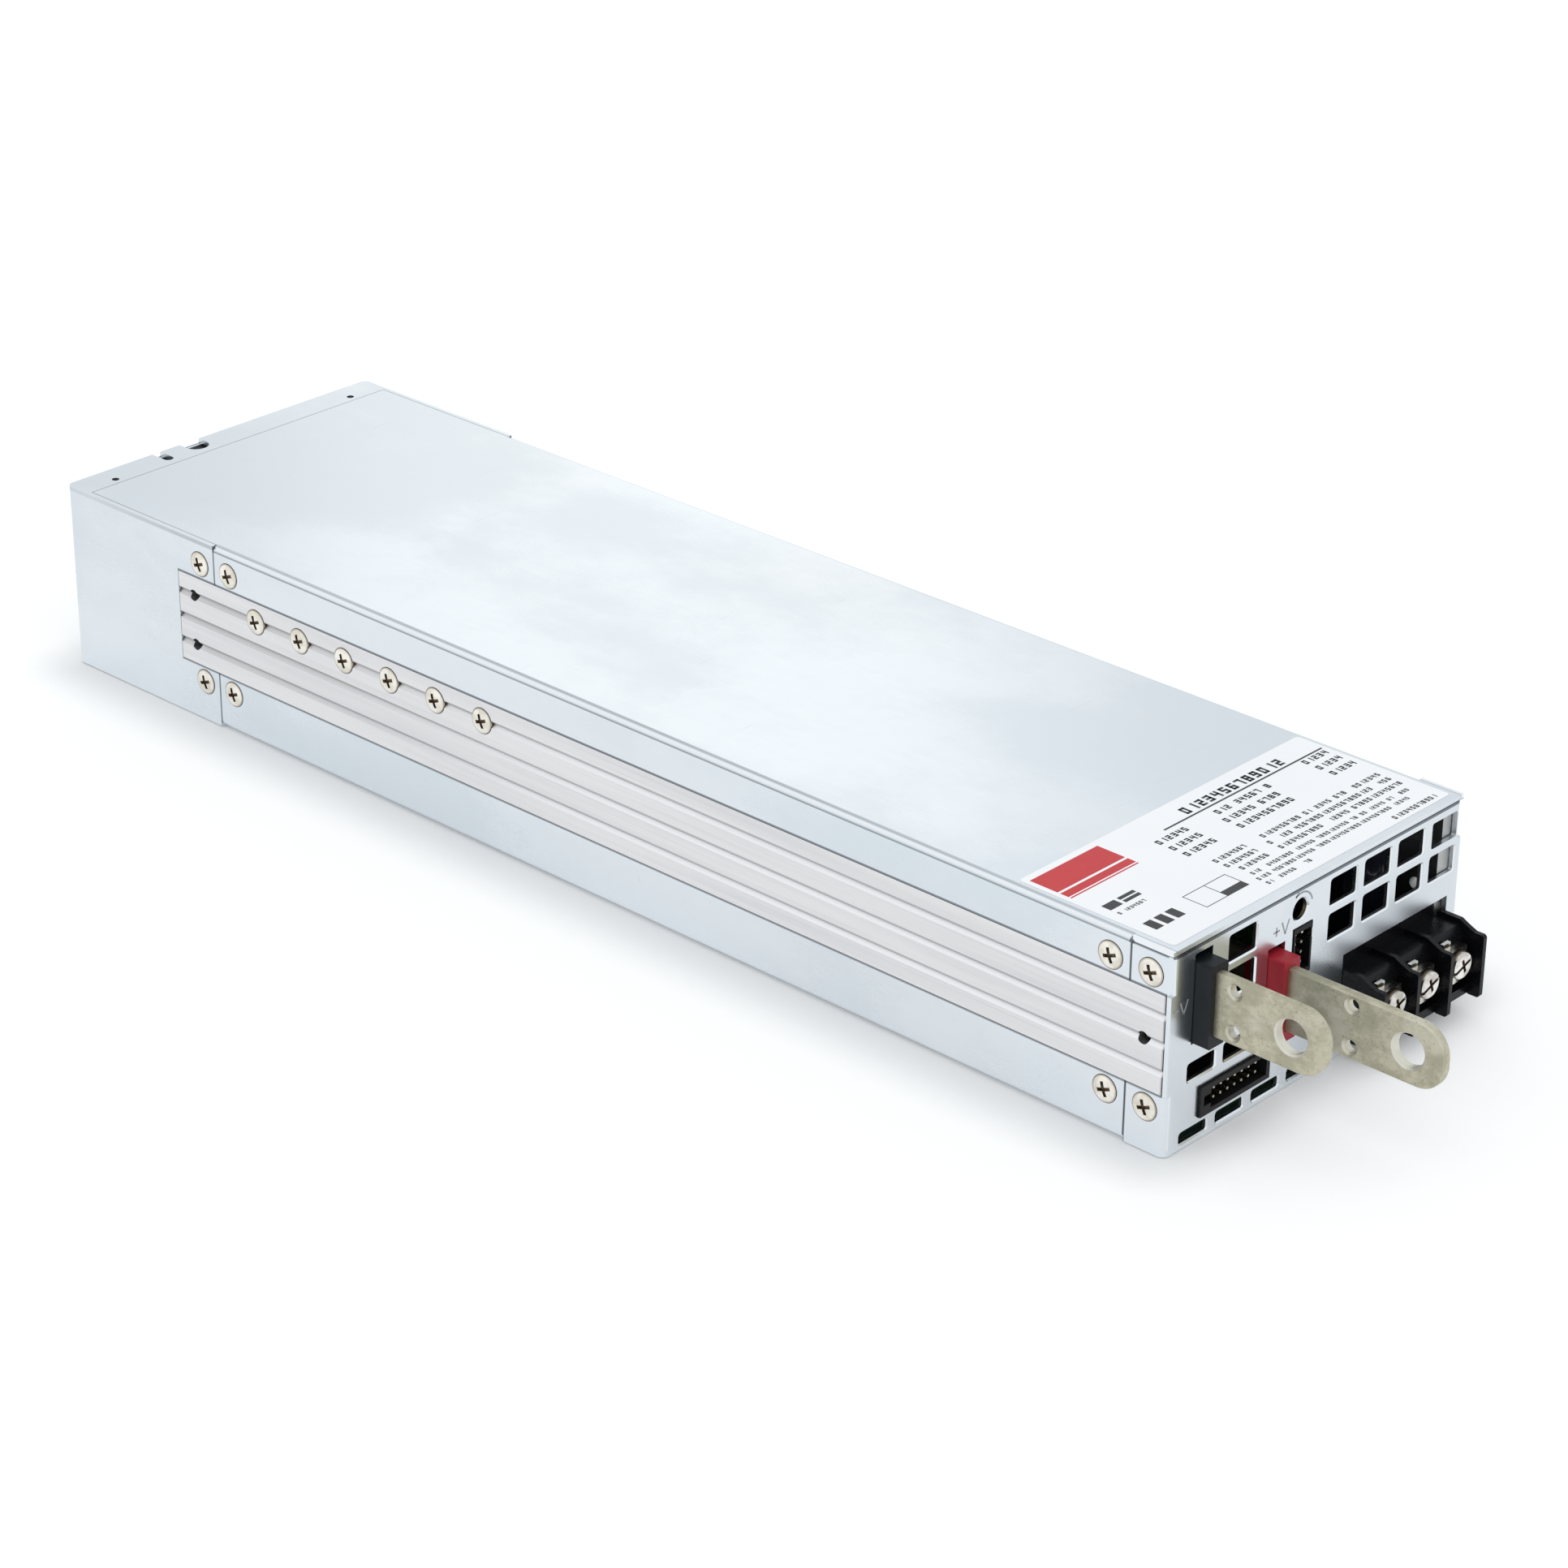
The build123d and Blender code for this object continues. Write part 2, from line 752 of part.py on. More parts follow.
# Rating label
with BuildPart() as rating_label:
    label_front_y = front_y + label_front_margin
    with BuildSketch(Plane.XY.offset(case_height)) as label_outline:
        with Locations((0, label_front_y + label_length / 2)):
            RectangleRounded(case_width - 2 * label_side_margin, label_length, label_corner)
    extrude(amount=label_thickness)
save(rating_label.part, "rating_label")


def build_bar(x, z, reach, name):
    """A stamped output bar: rounded outer end, one bolt hole, two taps and board legs."""
    tip_y = front_y - reach
    inner_y = front_y + bar_inner_length
    bolt_y = tip_y + bar_bolt_to_tip
    low_z = z - bar_height / 2
    with BuildPart() as bar:
        with BuildSketch(Plane.YZ.offset(x - bar_thickness / 2)) as outline:
            with Locations(((tip_y + inner_y) / 2, z)):
                Rectangle(inner_y - tip_y, bar_height)
            fillet(outline.vertices().group_by(Axis.X)[0], bar_corner)
            for leg in range(bar_leg_count):
                leg_y = front_y + bar_first_leg + bar_leg_pitch * leg
                with Locations((leg_y, (low_z + board_top_z) / 2)):
                    Rectangle(bar_leg_width, low_z - board_top_z)
            with Locations((bolt_y, z)):
                Circle(bar_bolt_radius, mode=Mode.SUBTRACT)
        extrude(amount=bar_thickness)
        left_face = Plane(origin=(x - bar_thickness / 2, 0, 0), x_dir=(0, -1, 0), z_dir=(-1, 0, 0))
        with Locations(left_face):
            with Locations(
                (-bolt_y - bar_bolt_to_taps, z - bar_tap_spacing / 2),
                (-bolt_y - bar_bolt_to_taps, z + bar_tap_spacing / 2),
            ):
                CounterSinkHole(bar_tap_radius, bar_tap_radius + bar_tap_bevel, counter_sink_angle=90)
        rounds = bar.edges().filter_by(GeomType.CIRCLE)
        rim = rounds.filter_by(lambda edge: abs(edge.radius - bar_bolt_radius) < seam_gap)
        chamfer(rim.group_by(Axis.X)[0], bar_bolt_bevel)
        for face in (bar.faces().sort_by(Axis.X)[0], bar.faces().sort_by(Axis.X)[-1]):
            above_legs = face.outer_wire().edges().filter_by(
                lambda edge: edge.center().Z > low_z - bar_edge
            )
            chamfer(
                above_legs.filter_by(lambda edge: edge.center().Y < front_y + bar_first_leg),
                bar_edge,
            )
    save(bar.part, name)


def build_nose(x, z, name):
    """A plastic insulator that fills the panel slot round one output bar."""
    half = bar_thickness / 2 + nose_side
    low_z = z - bar_height / 2 - nose_under
    high_z = z + bar_height / 2 + nose_over
    with BuildPart() as nose:
        with BuildSketch(Plane.XZ.offset(-(panel_inner_y + nose_inner_length))):
            with Locations((x, (low_z + high_z) / 2)):
                RectangleRounded(2 * half, high_z - low_z, nose_corner)
            with Locations((x, z)):
                Rectangle(
                    bar_thickness + 2 * bar_clearance,
                    bar_height + 2 * bar_clearance,
                    mode=Mode.SUBTRACT,
                )
        extrude(amount=sheet + nose_inner_length + nose_reach)
    save(nose.part, name)


build_bar(negative_bar_x, negative_bar_z, negative_bar_reach, "negative_busbar")
build_bar(positive_bar_x, positive_bar_z, positive_bar_reach, "positive_busbar")
build_nose(negative_bar_x, negative_bar_z, "negative_insulator")
build_nose(positive_bar_x, positive_bar_z, "positive_insulator")

# Mains terminal block: one moulding with a barrier each side of every pole
with BuildPart() as terminal_block:
    with BuildSketch(Plane.YZ.offset(block_left_x)) as body_profile:
        with BuildLine():
            Polyline(
                (panel_inner_y, block_foot_z),
                (front_y - ledge_front, block_foot_z),
                (front_y - ledge_front, ledge_top_z),
                (seat_y, ledge_top_z),
                (seat_y, plate_top_z - 2 * plate_thickness),
                (front_y - roof_front, roof_z),
                (panel_inner_y, roof_z),
                close=True,
            )
        make_face()
    extrude(amount=block_right_x - block_left_x)
    block(
        (block_left_x, half_width - sink_thickness - 3 * seat_gap),
        (panel_inner_y, block_rear_y),
        (board_top_z + seat_gap, block_rear_height),
    )
    for barrier_x in barrier_xs:
        with BuildSketch(Plane.YZ.offset(barrier_x - barrier_thickness / 2)) as barrier_profile:
            with BuildLine():
                shoulder_y = front_y - barrier_front + barrier_step
                step_z = barrier_top_z - barrier_step / 2
                Polyline((panel_inner_y, barrier_foot_z), (panel_inner_y, barrier_top_z))
                Line((panel_inner_y, barrier_top_z), (front_y - roof_front, barrier_top_z))
                ThreePointArc(
                    (front_y - roof_front, barrier_top_z),
                    ((front_y - roof_front + shoulder_y) / 2 - barrier_bulge, step_z),
                    (shoulder_y, step_z - barrier_bulge),
                )
                Polyline(
                    (shoulder_y, step_z - barrier_bulge),
                    (front_y - barrier_front, step_z - barrier_bulge),
                    (front_y - barrier_front, barrier_foot_z),
                    (shoulder_y + barrier_bulge, barrier_foot_z),
                    (front_y - ledge_front, block_foot_z + barrier_bulge),
                    (front_y - seat_front, barrier_foot_z + barrier_bulge),
                    (panel_inner_y, barrier_foot_z),
                )
            make_face()
            front_corners = barrier_profile.vertices().group_by(Axis.X)[0]
            fillet(front_corners, barrier_corner)
        extrude(amount=barrier_thickness)
    with Locations(Plane(origin=(0, seat_y, 0), x_dir=(1, 0, 0), z_dir=(0, -1, 0))):
        with Locations(*[(x, terminal_screw_z) for x in pole_xs]):
            Hole(terminal_thread_radius + 2 * thread_fit, depth=terminal_bore_depth)
save(terminal_block.part, "terminal_block")

# One contact plate behind each terminal screw
with BuildPart() as terminal_contacts:
    with BuildSketch(Plane.XZ.offset(-seat_y)):
        with Locations(*[(x, (plate_shoulder_z + plate_bottom_z) / 2) for x in pole_xs]):
            Rectangle(plate_width, plate_shoulder_z - plate_bottom_z)
        tab_left = (plate_tab_width - plate_width) / 2
        with Locations(*[(x + tab_left, (plate_top_z + plate_shoulder_z) / 2) for x in pole_xs]):
            Rectangle(plate_tab_width, plate_top_z - plate_shoulder_z)
        with Locations(*[(x, terminal_screw_z) for x in pole_xs]):
            Circle(terminal_thread_radius + terminal_hole_clearance, mode=Mode.SUBTRACT)
    extrude(amount=plate_thickness)
save(terminal_contacts.part, "terminal_contacts")

for pole, pole_x in enumerate(pole_xs, start=1):
    with BuildPart() as clamp:
        with BuildSketch(Plane.XZ.offset(-(plate_front_y - clamp_gap))) as clamp_outline:
            with Locations((pole_x, terminal_screw_z + (clamp_over - clamp_under) / 2)):
                Rectangle(clamp_width, clamp_over + clamp_under)
            fillet(clamp_outline.vertices().group_by(Axis.Y)[0], clamp_corner)
            with Locations((pole_x, terminal_screw_z)):
                Circle(terminal_thread_radius + terminal_hole_clearance, mode=Mode.SUBTRACT)
        extrude(amount=clamp_thickness)
    save(clamp.part, f"terminal_clamp_{pole}")
    with BuildPart() as terminal_screw:
        head_back_y = clamp_front_y - clamp_gap
        with BuildSketch(Plane.XZ.offset(-head_back_y)):
            with Locations((pole_x, terminal_screw_z)):
                Circle(terminal_head_radius)
        extrude(amount=terminal_head_height)
        fillet(terminal_screw.faces().sort_by(Axis.Y)[0].edges(), terminal_head_round)
        with BuildSketch(Plane.XZ.offset(-head_back_y)):
            with Locations((pole_x, terminal_screw_z)):
                Circle(terminal_thread_radius)
        extrude(amount=-terminal_shank_length)
        with BuildSketch(Plane.XZ.offset(-(head_back_y - terminal_head_height))):
            with Locations((pole_x, terminal_screw_z)):
                Rectangle(2 * terminal_head_radius, cross_width, rotation=cross_angle)
                Rectangle(cross_width, cross_length, rotation=cross_angle)
        extrude(amount=-cross_depth, mode=Mode.SUBTRACT)
    save(terminal_screw.part, f"terminal_screw_{pole}")


def build_header(x_span, z_span, cavity_x, key, mouth_y, pin_places, name):
    """A shrouded header that opens forwards, with its pins as a second piece.

    key holds the x span and the z span of the slot that keys the plug.
    """
    back_y = mouth_y + shroud_depth
    floor_y = back_y - shroud_wall
    with BuildPart() as housing:
        block(x_span, (mouth_y, back_y), z_span)
        block(
            cavity_x,
            (mouth_y - shroud_wall, floor_y),
            (z_span[0] + shroud_wall, z_span[1] - shroud_wall),
            Mode.SUBTRACT,
        )
        block(key[0], (mouth_y - shroud_wall, floor_y - shroud_wall), key[1], Mode.SUBTRACT)
        with Locations(*[(x, floor_y, z) for x, z in pin_places]):
            Box(pin_size, 2 * shroud_wall, pin_size, mode=Mode.SUBTRACT, align=pin_align)
    save(housing.part, f"{name}_header")
    with BuildPart() as pins:
        with Locations(*[(x, (mouth_y + back_y) / 2 + shroud_wall, z) for x, z in pin_places]):
            Box(pin_size, shroud_depth, pin_size)
    save(pins.part, f"{name}_header_pins")


pin_align = (Align.CENTER, Align.MIN, Align.CENTER)
output_header_half = output_header_width / 2
build_header(
    (output_header_x - output_header_half - output_header_latch, output_header_x + output_header_half),
    (output_header_z - output_header_height / 2, output_header_z + output_header_height / 2),
    (
        output_header_x - output_header_half + shroud_wall,
        output_header_x + output_header_half - shroud_wall,
    ),
    (
        (
            output_header_x - output_header_half - output_header_latch / 2,
            output_header_x - output_header_half + shroud_wall,
        ),
        (output_header_z - header_key_width / 2, output_header_z + header_key_width / 2),
    ),
    front_y - output_header_proud,
    [
        (
            output_header_x + pin_pitch * (column - (output_header_pins - 1) / 2),
            output_header_z + pin_pitch * row,
        )
        for column in range(output_header_pins)
        for row in (-0.5, 0.5)
    ],
    "output",
)
build_header(
    (control_header_x - control_header_width / 2, control_header_x + control_header_width / 2),
    (control_header_z - control_header_height / 2, control_header_z + control_header_height / 2),
    (
        control_header_x - control_header_width / 2 + shroud_wall / 2,
        control_header_x + control_header_width / 2 - shroud_wall / 2,
    ),
    (
        (
            control_header_x + control_header_width / 2 - shroud_wall,
            control_header_x + control_header_width / 2,
        ),
        (
            control_header_z + control_header_key_rise - header_key_width / 2,
            control_header_z + control_header_key_rise + header_key_width / 2,
        ),
    ),
    front_y - control_header_proud,
    [
        (
            control_header_x + pin_pitch * column,
            control_header_z + pin_pitch * (row - (control_header_pins - 1) / 2),
        )
        for row in range(control_header_pins)
        for column in (-0.5, 0.5)
    ],
    "control",
)

# Main board on its pillars, over an insulating film
standoff_xs = [-board_half_width + standoff_inset, board_half_width - standoff_inset]
board_middle_y = (board_front_y + board_rear_y) / 2
standoff_ys = [board_front_y + standoff_inset, board_middle_y, board_rear_y - standoff_inset]
standoff_places = [(x, y) for x in standoff_xs for y in standoff_ys]
board_size = (2 * board_half_width, board_rear_y - board_front_y)
with BuildPart() as main_board:
    with BuildSketch(Plane.XY.offset(board_underside_z)):
        with Locations((0, board_middle_y)):
            Rectangle(*board_size)
    extrude(amount=board_thickness)
save(main_board.part, "main_board")
with BuildPart() as insulation_film:
    with BuildSketch(Plane.XY.offset(sheet)):
        with Locations((0, board_middle_y)):
            Rectangle(*board_size)
        with Locations(*standoff_places):
            Circle(standoff_radius + seat_gap, mode=Mode.SUBTRACT)
    extrude(amount=film_thickness)
save(insulation_film.part, "insulation_film")
with BuildPart() as board_standoffs:
    with BuildSketch(Plane.XY.offset(sheet)):
        with Locations(*standoff_places):
            Circle(standoff_radius)
    extrude(amount=board_underside_z - sheet)
save(board_standoffs.part, "board_standoffs")

# Control board with the voltage trimmer behind its hole in the panel
with BuildPart() as control_board:
    with BuildSketch(Plane.XZ.offset(-control_board_y)):
        board_low_z = board_top_z
        board_high_z = case_height - sheet - control_board_top_gap
        with Locations((control_board_centre_x, (board_low_z + board_high_z) / 2)):
            Rectangle(control_board_width, board_high_z - board_low_z)
        with Locations((control_header_x, control_header_z)):
            with GridLocations(pin_pitch, pin_pitch, 2, control_header_pins):
                Rectangle(pin_size + thread_fit, pin_size + thread_fit, mode=Mode.SUBTRACT)
    extrude(amount=-control_board_thickness)
save(control_board.part, "control_board")
trimmer_face_y = control_board_y - trimmer_body_depth
trimmer_pocket_y = trimmer_face_y + trimmer_pocket_depth
with BuildPart() as trimmer_body:
    with BuildSketch(Plane.XZ.offset(-control_board_y)):
        with Locations((trimmer_x, trimmer_z)):
            RectangleRounded(trimmer_body_size, trimmer_body_size, relay_corner)
    extrude(amount=trimmer_body_depth)
    with BuildSketch(Plane.XZ.offset(-trimmer_face_y)):
        with Locations((trimmer_x, trimmer_z)):
            Circle(trimmer_rotor_radius + trimmer_clearance)
    extrude(amount=-trimmer_pocket_depth, mode=Mode.SUBTRACT)
save(trimmer_body.part, "trimmer_body")
with BuildPart() as trimmer_rotor:
    with BuildSketch(Plane.XZ.offset(-(trimmer_pocket_y - trimmer_clearance))):
        with Locations((trimmer_x, trimmer_z)):
            Circle(trimmer_rotor_radius)
    extrude(amount=trimmer_rotor_length)
    trimmer_front_y = trimmer_pocket_y - trimmer_clearance - trimmer_rotor_length
    with BuildSketch(Plane.XZ.offset(-trimmer_front_y)):
        with Locations((trimmer_x, trimmer_z)):
            Rectangle(2 * trimmer_rotor_radius, trimmer_slot_width)
    extrude(amount=-trimmer_slot_depth, mode=Mode.SUBTRACT)
save(trimmer_rotor.part, "trimmer_rotor")


def facing_rear(x, y):
    """A plane across Y at a fan's centre height, whose normal points out of the back."""
    return Plane(origin=(x, y, fan_centre_z), x_dir=(-1, 0, 0), z_dir=(0, 1, 0))


def build_fan(x, name):
    """One fan: a moulded frame that carries the bearing tube, and the bladed rotor."""
    with BuildPart() as frame:
        with BuildSketch(facing_rear(x, fan_front_y)):
            RectangleRounded(fan_size, fan_size, fan_corner)
            Circle(fan_bore_radius, mode=Mode.SUBTRACT)
        extrude(amount=fan_depth)
        with BuildSketch(facing_rear(x, fan_front_y + fan_flange)):
            Rectangle(fan_size + fan_wall, fan_size + fan_wall)
            Circle(fan_bore_radius + fan_wall, mode=Mode.SUBTRACT)
        extrude(amount=fan_depth - 2 * fan_flange, mode=Mode.SUBTRACT)
        with BuildSketch(facing_rear(x, fan_front_y)):
            with GridLocations(fan_screw_spacing, fan_screw_spacing, 2, 2):
                Circle(fan_screw_radius + fan_hole_clearance)
        extrude(amount=fan_depth, mode=Mode.SUBTRACT)
        with BuildSketch(facing_rear(x, fan_front_y)):
            Circle(fan_hub_radius)
            for arm in range(fan_arm_count // 2):
                turn = 45 + 180 * arm / (fan_arm_count // 2)
                Rectangle(2 * fan_bore_radius + fan_wall, fan_arm_width, rotation=turn)
        extrude(amount=fan_arm_thickness)
        with BuildSketch(facing_rear(x, fan_front_y + fan_arm_thickness)):
            Circle(fan_bearing_radius)
            Circle(fan_shaft_radius + fan_shaft_clearance, mode=Mode.SUBTRACT)
        extrude(amount=fan_bearing_length)
    save(frame.part, f"{name}_fan_frame")
    cup_face_y = fan_rear_y - fan_end_gap
    cup_open_y = cup_face_y - fan_hub_depth
    with BuildPart() as rotor:
        blade_root = fan_hub_radius - fan_blade_root_depth
        blade_tip = fan_bore_radius - fan_tip_gap
        for blade in range(fan_blade_count):
            radial = Vector(1, 0, 0).rotate(Axis.Y, 360 * blade / fan_blade_count)
            centre = Vector(x, (cup_face_y + cup_open_y) / 2, fan_centre_z) + radial * blade_root
            root_plane = Plane(origin=centre, x_dir=(0, 1, 0), z_dir=radial)
            with BuildSketch(root_plane.rotated((0, 0, fan_blade_pitch_angle))):
                half_chord = fan_blade_chord / 2
                with BuildLine():
                    ThreePointArc((-half_chord, 0), (0, fan_blade_camber), (half_chord, 0))
                    Line((half_chord, 0), (half_chord, -fan_blade_thickness))
                    ThreePointArc(
                        (half_chord, -fan_blade_thickness),
                        (0, fan_blade_camber - fan_blade_thickness),
                        (-half_chord, -fan_blade_thickness),
                    )
                    Line((-half_chord, -fan_blade_thickness), (-half_chord, 0))
                make_face()
            extrude(amount=blade_tip - blade_root)
        with BuildSketch(facing_rear(x, cup_open_y)):
            Circle(fan_hub_radius)
        extrude(amount=fan_hub_depth)
        with BuildSketch(facing_rear(x, cup_open_y)):
            Circle(fan_hub_radius - fan_hub_wall)
        extrude(amount=fan_hub_depth - fan_hub_wall, mode=Mode.SUBTRACT)
        with BuildSketch(facing_rear(x, cup_face_y - fan_hub_wall)):
            Circle(fan_shaft_radius)
        extrude(amount=-(fan_bearing_length - fan_hub_wall))
        with BuildSketch(facing_rear(x, cup_open_y)):
            Circle(blade_tip)
        extrude(amount=fan_hub_depth, mode=Mode.INTERSECT)
    save(rotor.part, f"{name}_fan_rotor")


for fan_x, fan_name in zip(fan_xs, ("left", "right")):
    build_fan(fan_x, fan_name)

# Fan screws: flat heads in the rear panel, shanks in the fan's corner holes
with BuildPart() as fan_screws:
    for fan_x in fan_xs:
        with BuildSketch(facing_rear(fan_x, rear_inner_y)):
            with GridLocations(fan_screw_spacing, fan_screw_spacing, 2, 2):
                Circle(screw_head_radius)
        extrude(amount=sheet)
        with BuildSketch(facing_rear(fan_x, rear_inner_y)):
            with GridLocations(fan_screw_spacing, fan_screw_spacing, 2, 2):
                Circle(fan_screw_radius)
        extrude(amount=-fan_flange)
        with BuildSketch(facing_rear(fan_x, rear_y)):
            with GridLocations(fan_screw_spacing, fan_screw_spacing, 2, 2):
                Rectangle(cross_length, cross_width)
                Rectangle(cross_width, cross_length)
        extrude(amount=-cross_depth, mode=Mode.SUBTRACT)
save(fan_screws.part, "fan_screws")


def build_devices(side, name):
    """Power semiconductors clamped flat on a heatsink, with three legs into the board."""
    face_x = side * (half_width - sink_thickness)
    high_z = groove_top_z + device_over_hole
    low_z = high_z - device_height
    with BuildPart() as devices:
        for y in device_ys:
            with BuildSketch(side_plane(face_x, -side)):
                with Locations((-side * y, (high_z + low_z) / 2)):
                    Rectangle(device_width, device_height)
                with Locations((-side * y, groove_top_z)):
                    Circle(screw_shank_radius + fan_hole_clearance, mode=Mode.SUBTRACT)
            extrude(amount=device_thickness)
            for leg in (-1, 0, 1):
                with Locations(
                    (
                        face_x - side * device_thickness / 2,
                        y + leg * device_lead_pitch,
                        (low_z + board_top_z) / 2,
                    )
                ):
                    Box(device_lead_width, device_lead_width, low_z - board_top_z)
    save(devices.part, name)


build_devices(-1, "left_power_devices")
build_devices(1, "right_power_devices")


def build_wound_core(x, y, length, width, height, name):
    """A two-window ferrite core with its winding round the middle leg."""
    low_z = board_top_z + seat_gap
    middle_z = low_z + height / 2
    window_width = (width - 4 * core_leg) / 2
    window_x = core_leg + window_width / 2
    with BuildPart() as core:
        with BuildSketch(Plane.XZ.offset(-(y + length / 2))):
            with Locations((x, middle_z)):
                Rectangle(width, height)
            with Locations((x - window_x, middle_z), (x + window_x, middle_z)):
                Rectangle(window_width, height - 2 * core_leg, mode=Mode.SUBTRACT)
        extrude(amount=length)
    save(core.part, f"{name}_core")
    winding_reach = core_leg + window_width - winding_gap
    with BuildPart() as winding:
        with BuildSketch(Plane.XY.offset(low_z + core_leg + winding_gap)):
            with Locations((x, y)):
                RectangleRounded(
                    2 * winding_reach, length + 2 * winding_overhang, winding_overhang
                )
                Rectangle(
                    2 * (core_leg + winding_gap), length + 2 * winding_gap, mode=Mode.SUBTRACT
                )
        extrude(amount=height - 2 * core_leg - 2 * winding_gap)
    save(winding.part, f"{name}_winding")


def build_ring_choke(x, y, radius, name):
    """A flat ring core wound with separate turns of heavy wire."""
    hole_radius = radius * choke_hole_share
    low_z = board_top_z + seat_gap + turn_wire + turn_gap
    high_z = low_z + choke_height
    core_outer = radius - turn_wire - turn_gap
    core_inner = hole_radius + turn_wire + turn_gap
    with BuildPart() as ring:
        with BuildSketch(Plane.XY.offset(low_z)):
            with Locations((x, y)):
                Circle(core_outer)
                Circle(core_inner, mode=Mode.SUBTRACT)
        extrude(amount=choke_height)
    save(ring.part, f"{name}_core")
    with BuildPart() as turns:
        for turn in range(turn_count):
            direction = Vector(1, 0, 0).rotate(Axis.Z, 360 * turn / turn_count)
            section = Plane(origin=(x, y, 0), x_dir=direction, z_dir=direction.cross(Vector(0, 0, 1)))
            with BuildSketch(section):
                with Locations(((radius + hole_radius) / 2, (low_z + high_z) / 2)):
                    RectangleRounded(
                        radius - hole_radius, choke_height + 2 * (turn_wire + turn_gap), turn_wire
                    )
                    Rectangle(
                        core_outer - core_inner + 2 * turn_gap,
                        choke_height + 2 * turn_gap,
                        mode=Mode.SUBTRACT,
                    )
            extrude(amount=turn_wire / 2, both=True)
    save(turns.part, f"{name}_turns")


build_wound_core(
    transformer_x, transformer_y, transformer_length, transformer_width, transformer_height, "transformer"
)
build_wound_core(
    line_choke_x, line_choke_y, line_choke_length, line_choke_width, line_choke_height, "line_choke"
)
build_ring_choke(output_choke_x, output_choke_y, output_choke_radius, "output_choke")
build_ring_choke(boost_choke_x, boost_choke_y, boost_choke_radius, "boost_choke")

# Capacitors
with BuildPart() as bulk_capacitors:
    bulk_axis_z = board_top_z + seat_gap + bulk_radius
    with BuildSketch(Plane.YZ.offset(bulk_x - bulk_length / 2)):
        with Locations(*[(bulk_last_y - bulk_pitch * place, bulk_axis_z) for place in range(bulk_count)]):
            Circle(bulk_radius)
    extrude(amount=bulk_length)
    chamfer(bulk_capacitors.faces().group_by(Axis.X)[-1].edges(), bulk_bevel)
save(bulk_capacitors.part, "bulk_capacitors")
with BuildPart() as output_capacitors:
    with BuildSketch(Plane.XY.offset(board_top_z + seat_gap)):
        with Locations((output_can_x, output_can_y)):
            with GridLocations(
                output_can_pitch_x, output_can_pitch_y, output_can_columns, output_can_rows
            ):
                Circle(output_can_radius)
    extrude(amount=output_can_height)
    chamfer(output_capacitors.faces().group_by(Axis.Z)[-1].edges(), can_bevel)
save(output_capacitors.part, "output_capacitors")
with BuildPart() as inlet_capacitor:
    with BuildSketch(Plane.XY.offset(board_top_z + seat_gap)):
        with Locations((inlet_can_x, inlet_can_y)):
            Circle(inlet_can_radius)
    extrude(amount=inlet_can_top_z - board_top_z - seat_gap)
    chamfer(inlet_capacitor.faces().group_by(Axis.Z)[-1].edges(), can_bevel)
save(inlet_capacitor.part, "inlet_capacitor")
with BuildPart() as film_capacitor:
    with BuildSketch(Plane.XY.offset(board_top_z + seat_gap)):
        with Locations((film_capacitor_x, film_capacitor_y)):
            RectangleRounded(film_capacitor_length, film_capacitor_width, relay_corner)
    extrude(amount=film_capacitor_height)
save(film_capacitor.part, "film_capacitor")

# Fuse and inrush relay
fuse_axis_z = board_top_z + seat_gap + fuse_radius + fuse_cap_wall
with BuildPart() as fuse_body:
    with BuildSketch(Plane.XZ.offset(-(fuse_y + fuse_length / 2 - fuse_cap_wall))):
        with Locations((fuse_x, fuse_axis_z)):
            Circle(fuse_radius)
    extrude(amount=fuse_length - 2 * fuse_cap_wall)
save(fuse_body.part, "fuse_body")
with BuildPart() as fuse_caps:
    with BuildSketch(Plane.XZ.offset(-(fuse_y + fuse_length / 2))):
        with Locations((fuse_x, fuse_axis_z)):
            Circle(fuse_radius + fuse_cap_wall)
    extrude(amount=fuse_length)
    with BuildSketch(Plane.XZ.offset(-(fuse_y + fuse_length / 2 - fuse_cap_wall))):
        with Locations((fuse_x, fuse_axis_z)):
            Circle(fuse_radius)
    extrude(amount=fuse_length - 2 * fuse_cap_wall, mode=Mode.SUBTRACT)
    block(
        (fuse_x - 2 * fuse_radius, fuse_x + 2 * fuse_radius),
        (fuse_y - fuse_length / 2 + fuse_cap_length, fuse_y + fuse_length / 2 - fuse_cap_length),
        (board_top_z, fuse_axis_z + 2 * fuse_radius),
        Mode.SUBTRACT,
    )
save(fuse_caps.part, "fuse_caps")
with BuildPart() as relay:
    with BuildSketch(Plane.XY.offset(board_top_z + seat_gap)):
        with Locations((relay_x, relay_y)):
            Rectangle(relay_width, relay_length)
    extrude(amount=relay_height)
    fillet(relay.edges().filter_by(Axis.Z), relay_corner)
save(relay.part, "inrush_relay")
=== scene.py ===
"""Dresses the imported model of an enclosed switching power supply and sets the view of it.

The frame is the case's own: metres, +Z up, terminals towards -Y, fans towards +Y, and the
origin in the centre of the bottom face.
"""

from __future__ import annotations

import logging
from dataclasses import dataclass, field
from enum import Enum
from typing import Any, Iterable, Sequence

import bpy
import numpy as np
from mathutils import Matrix, Vector


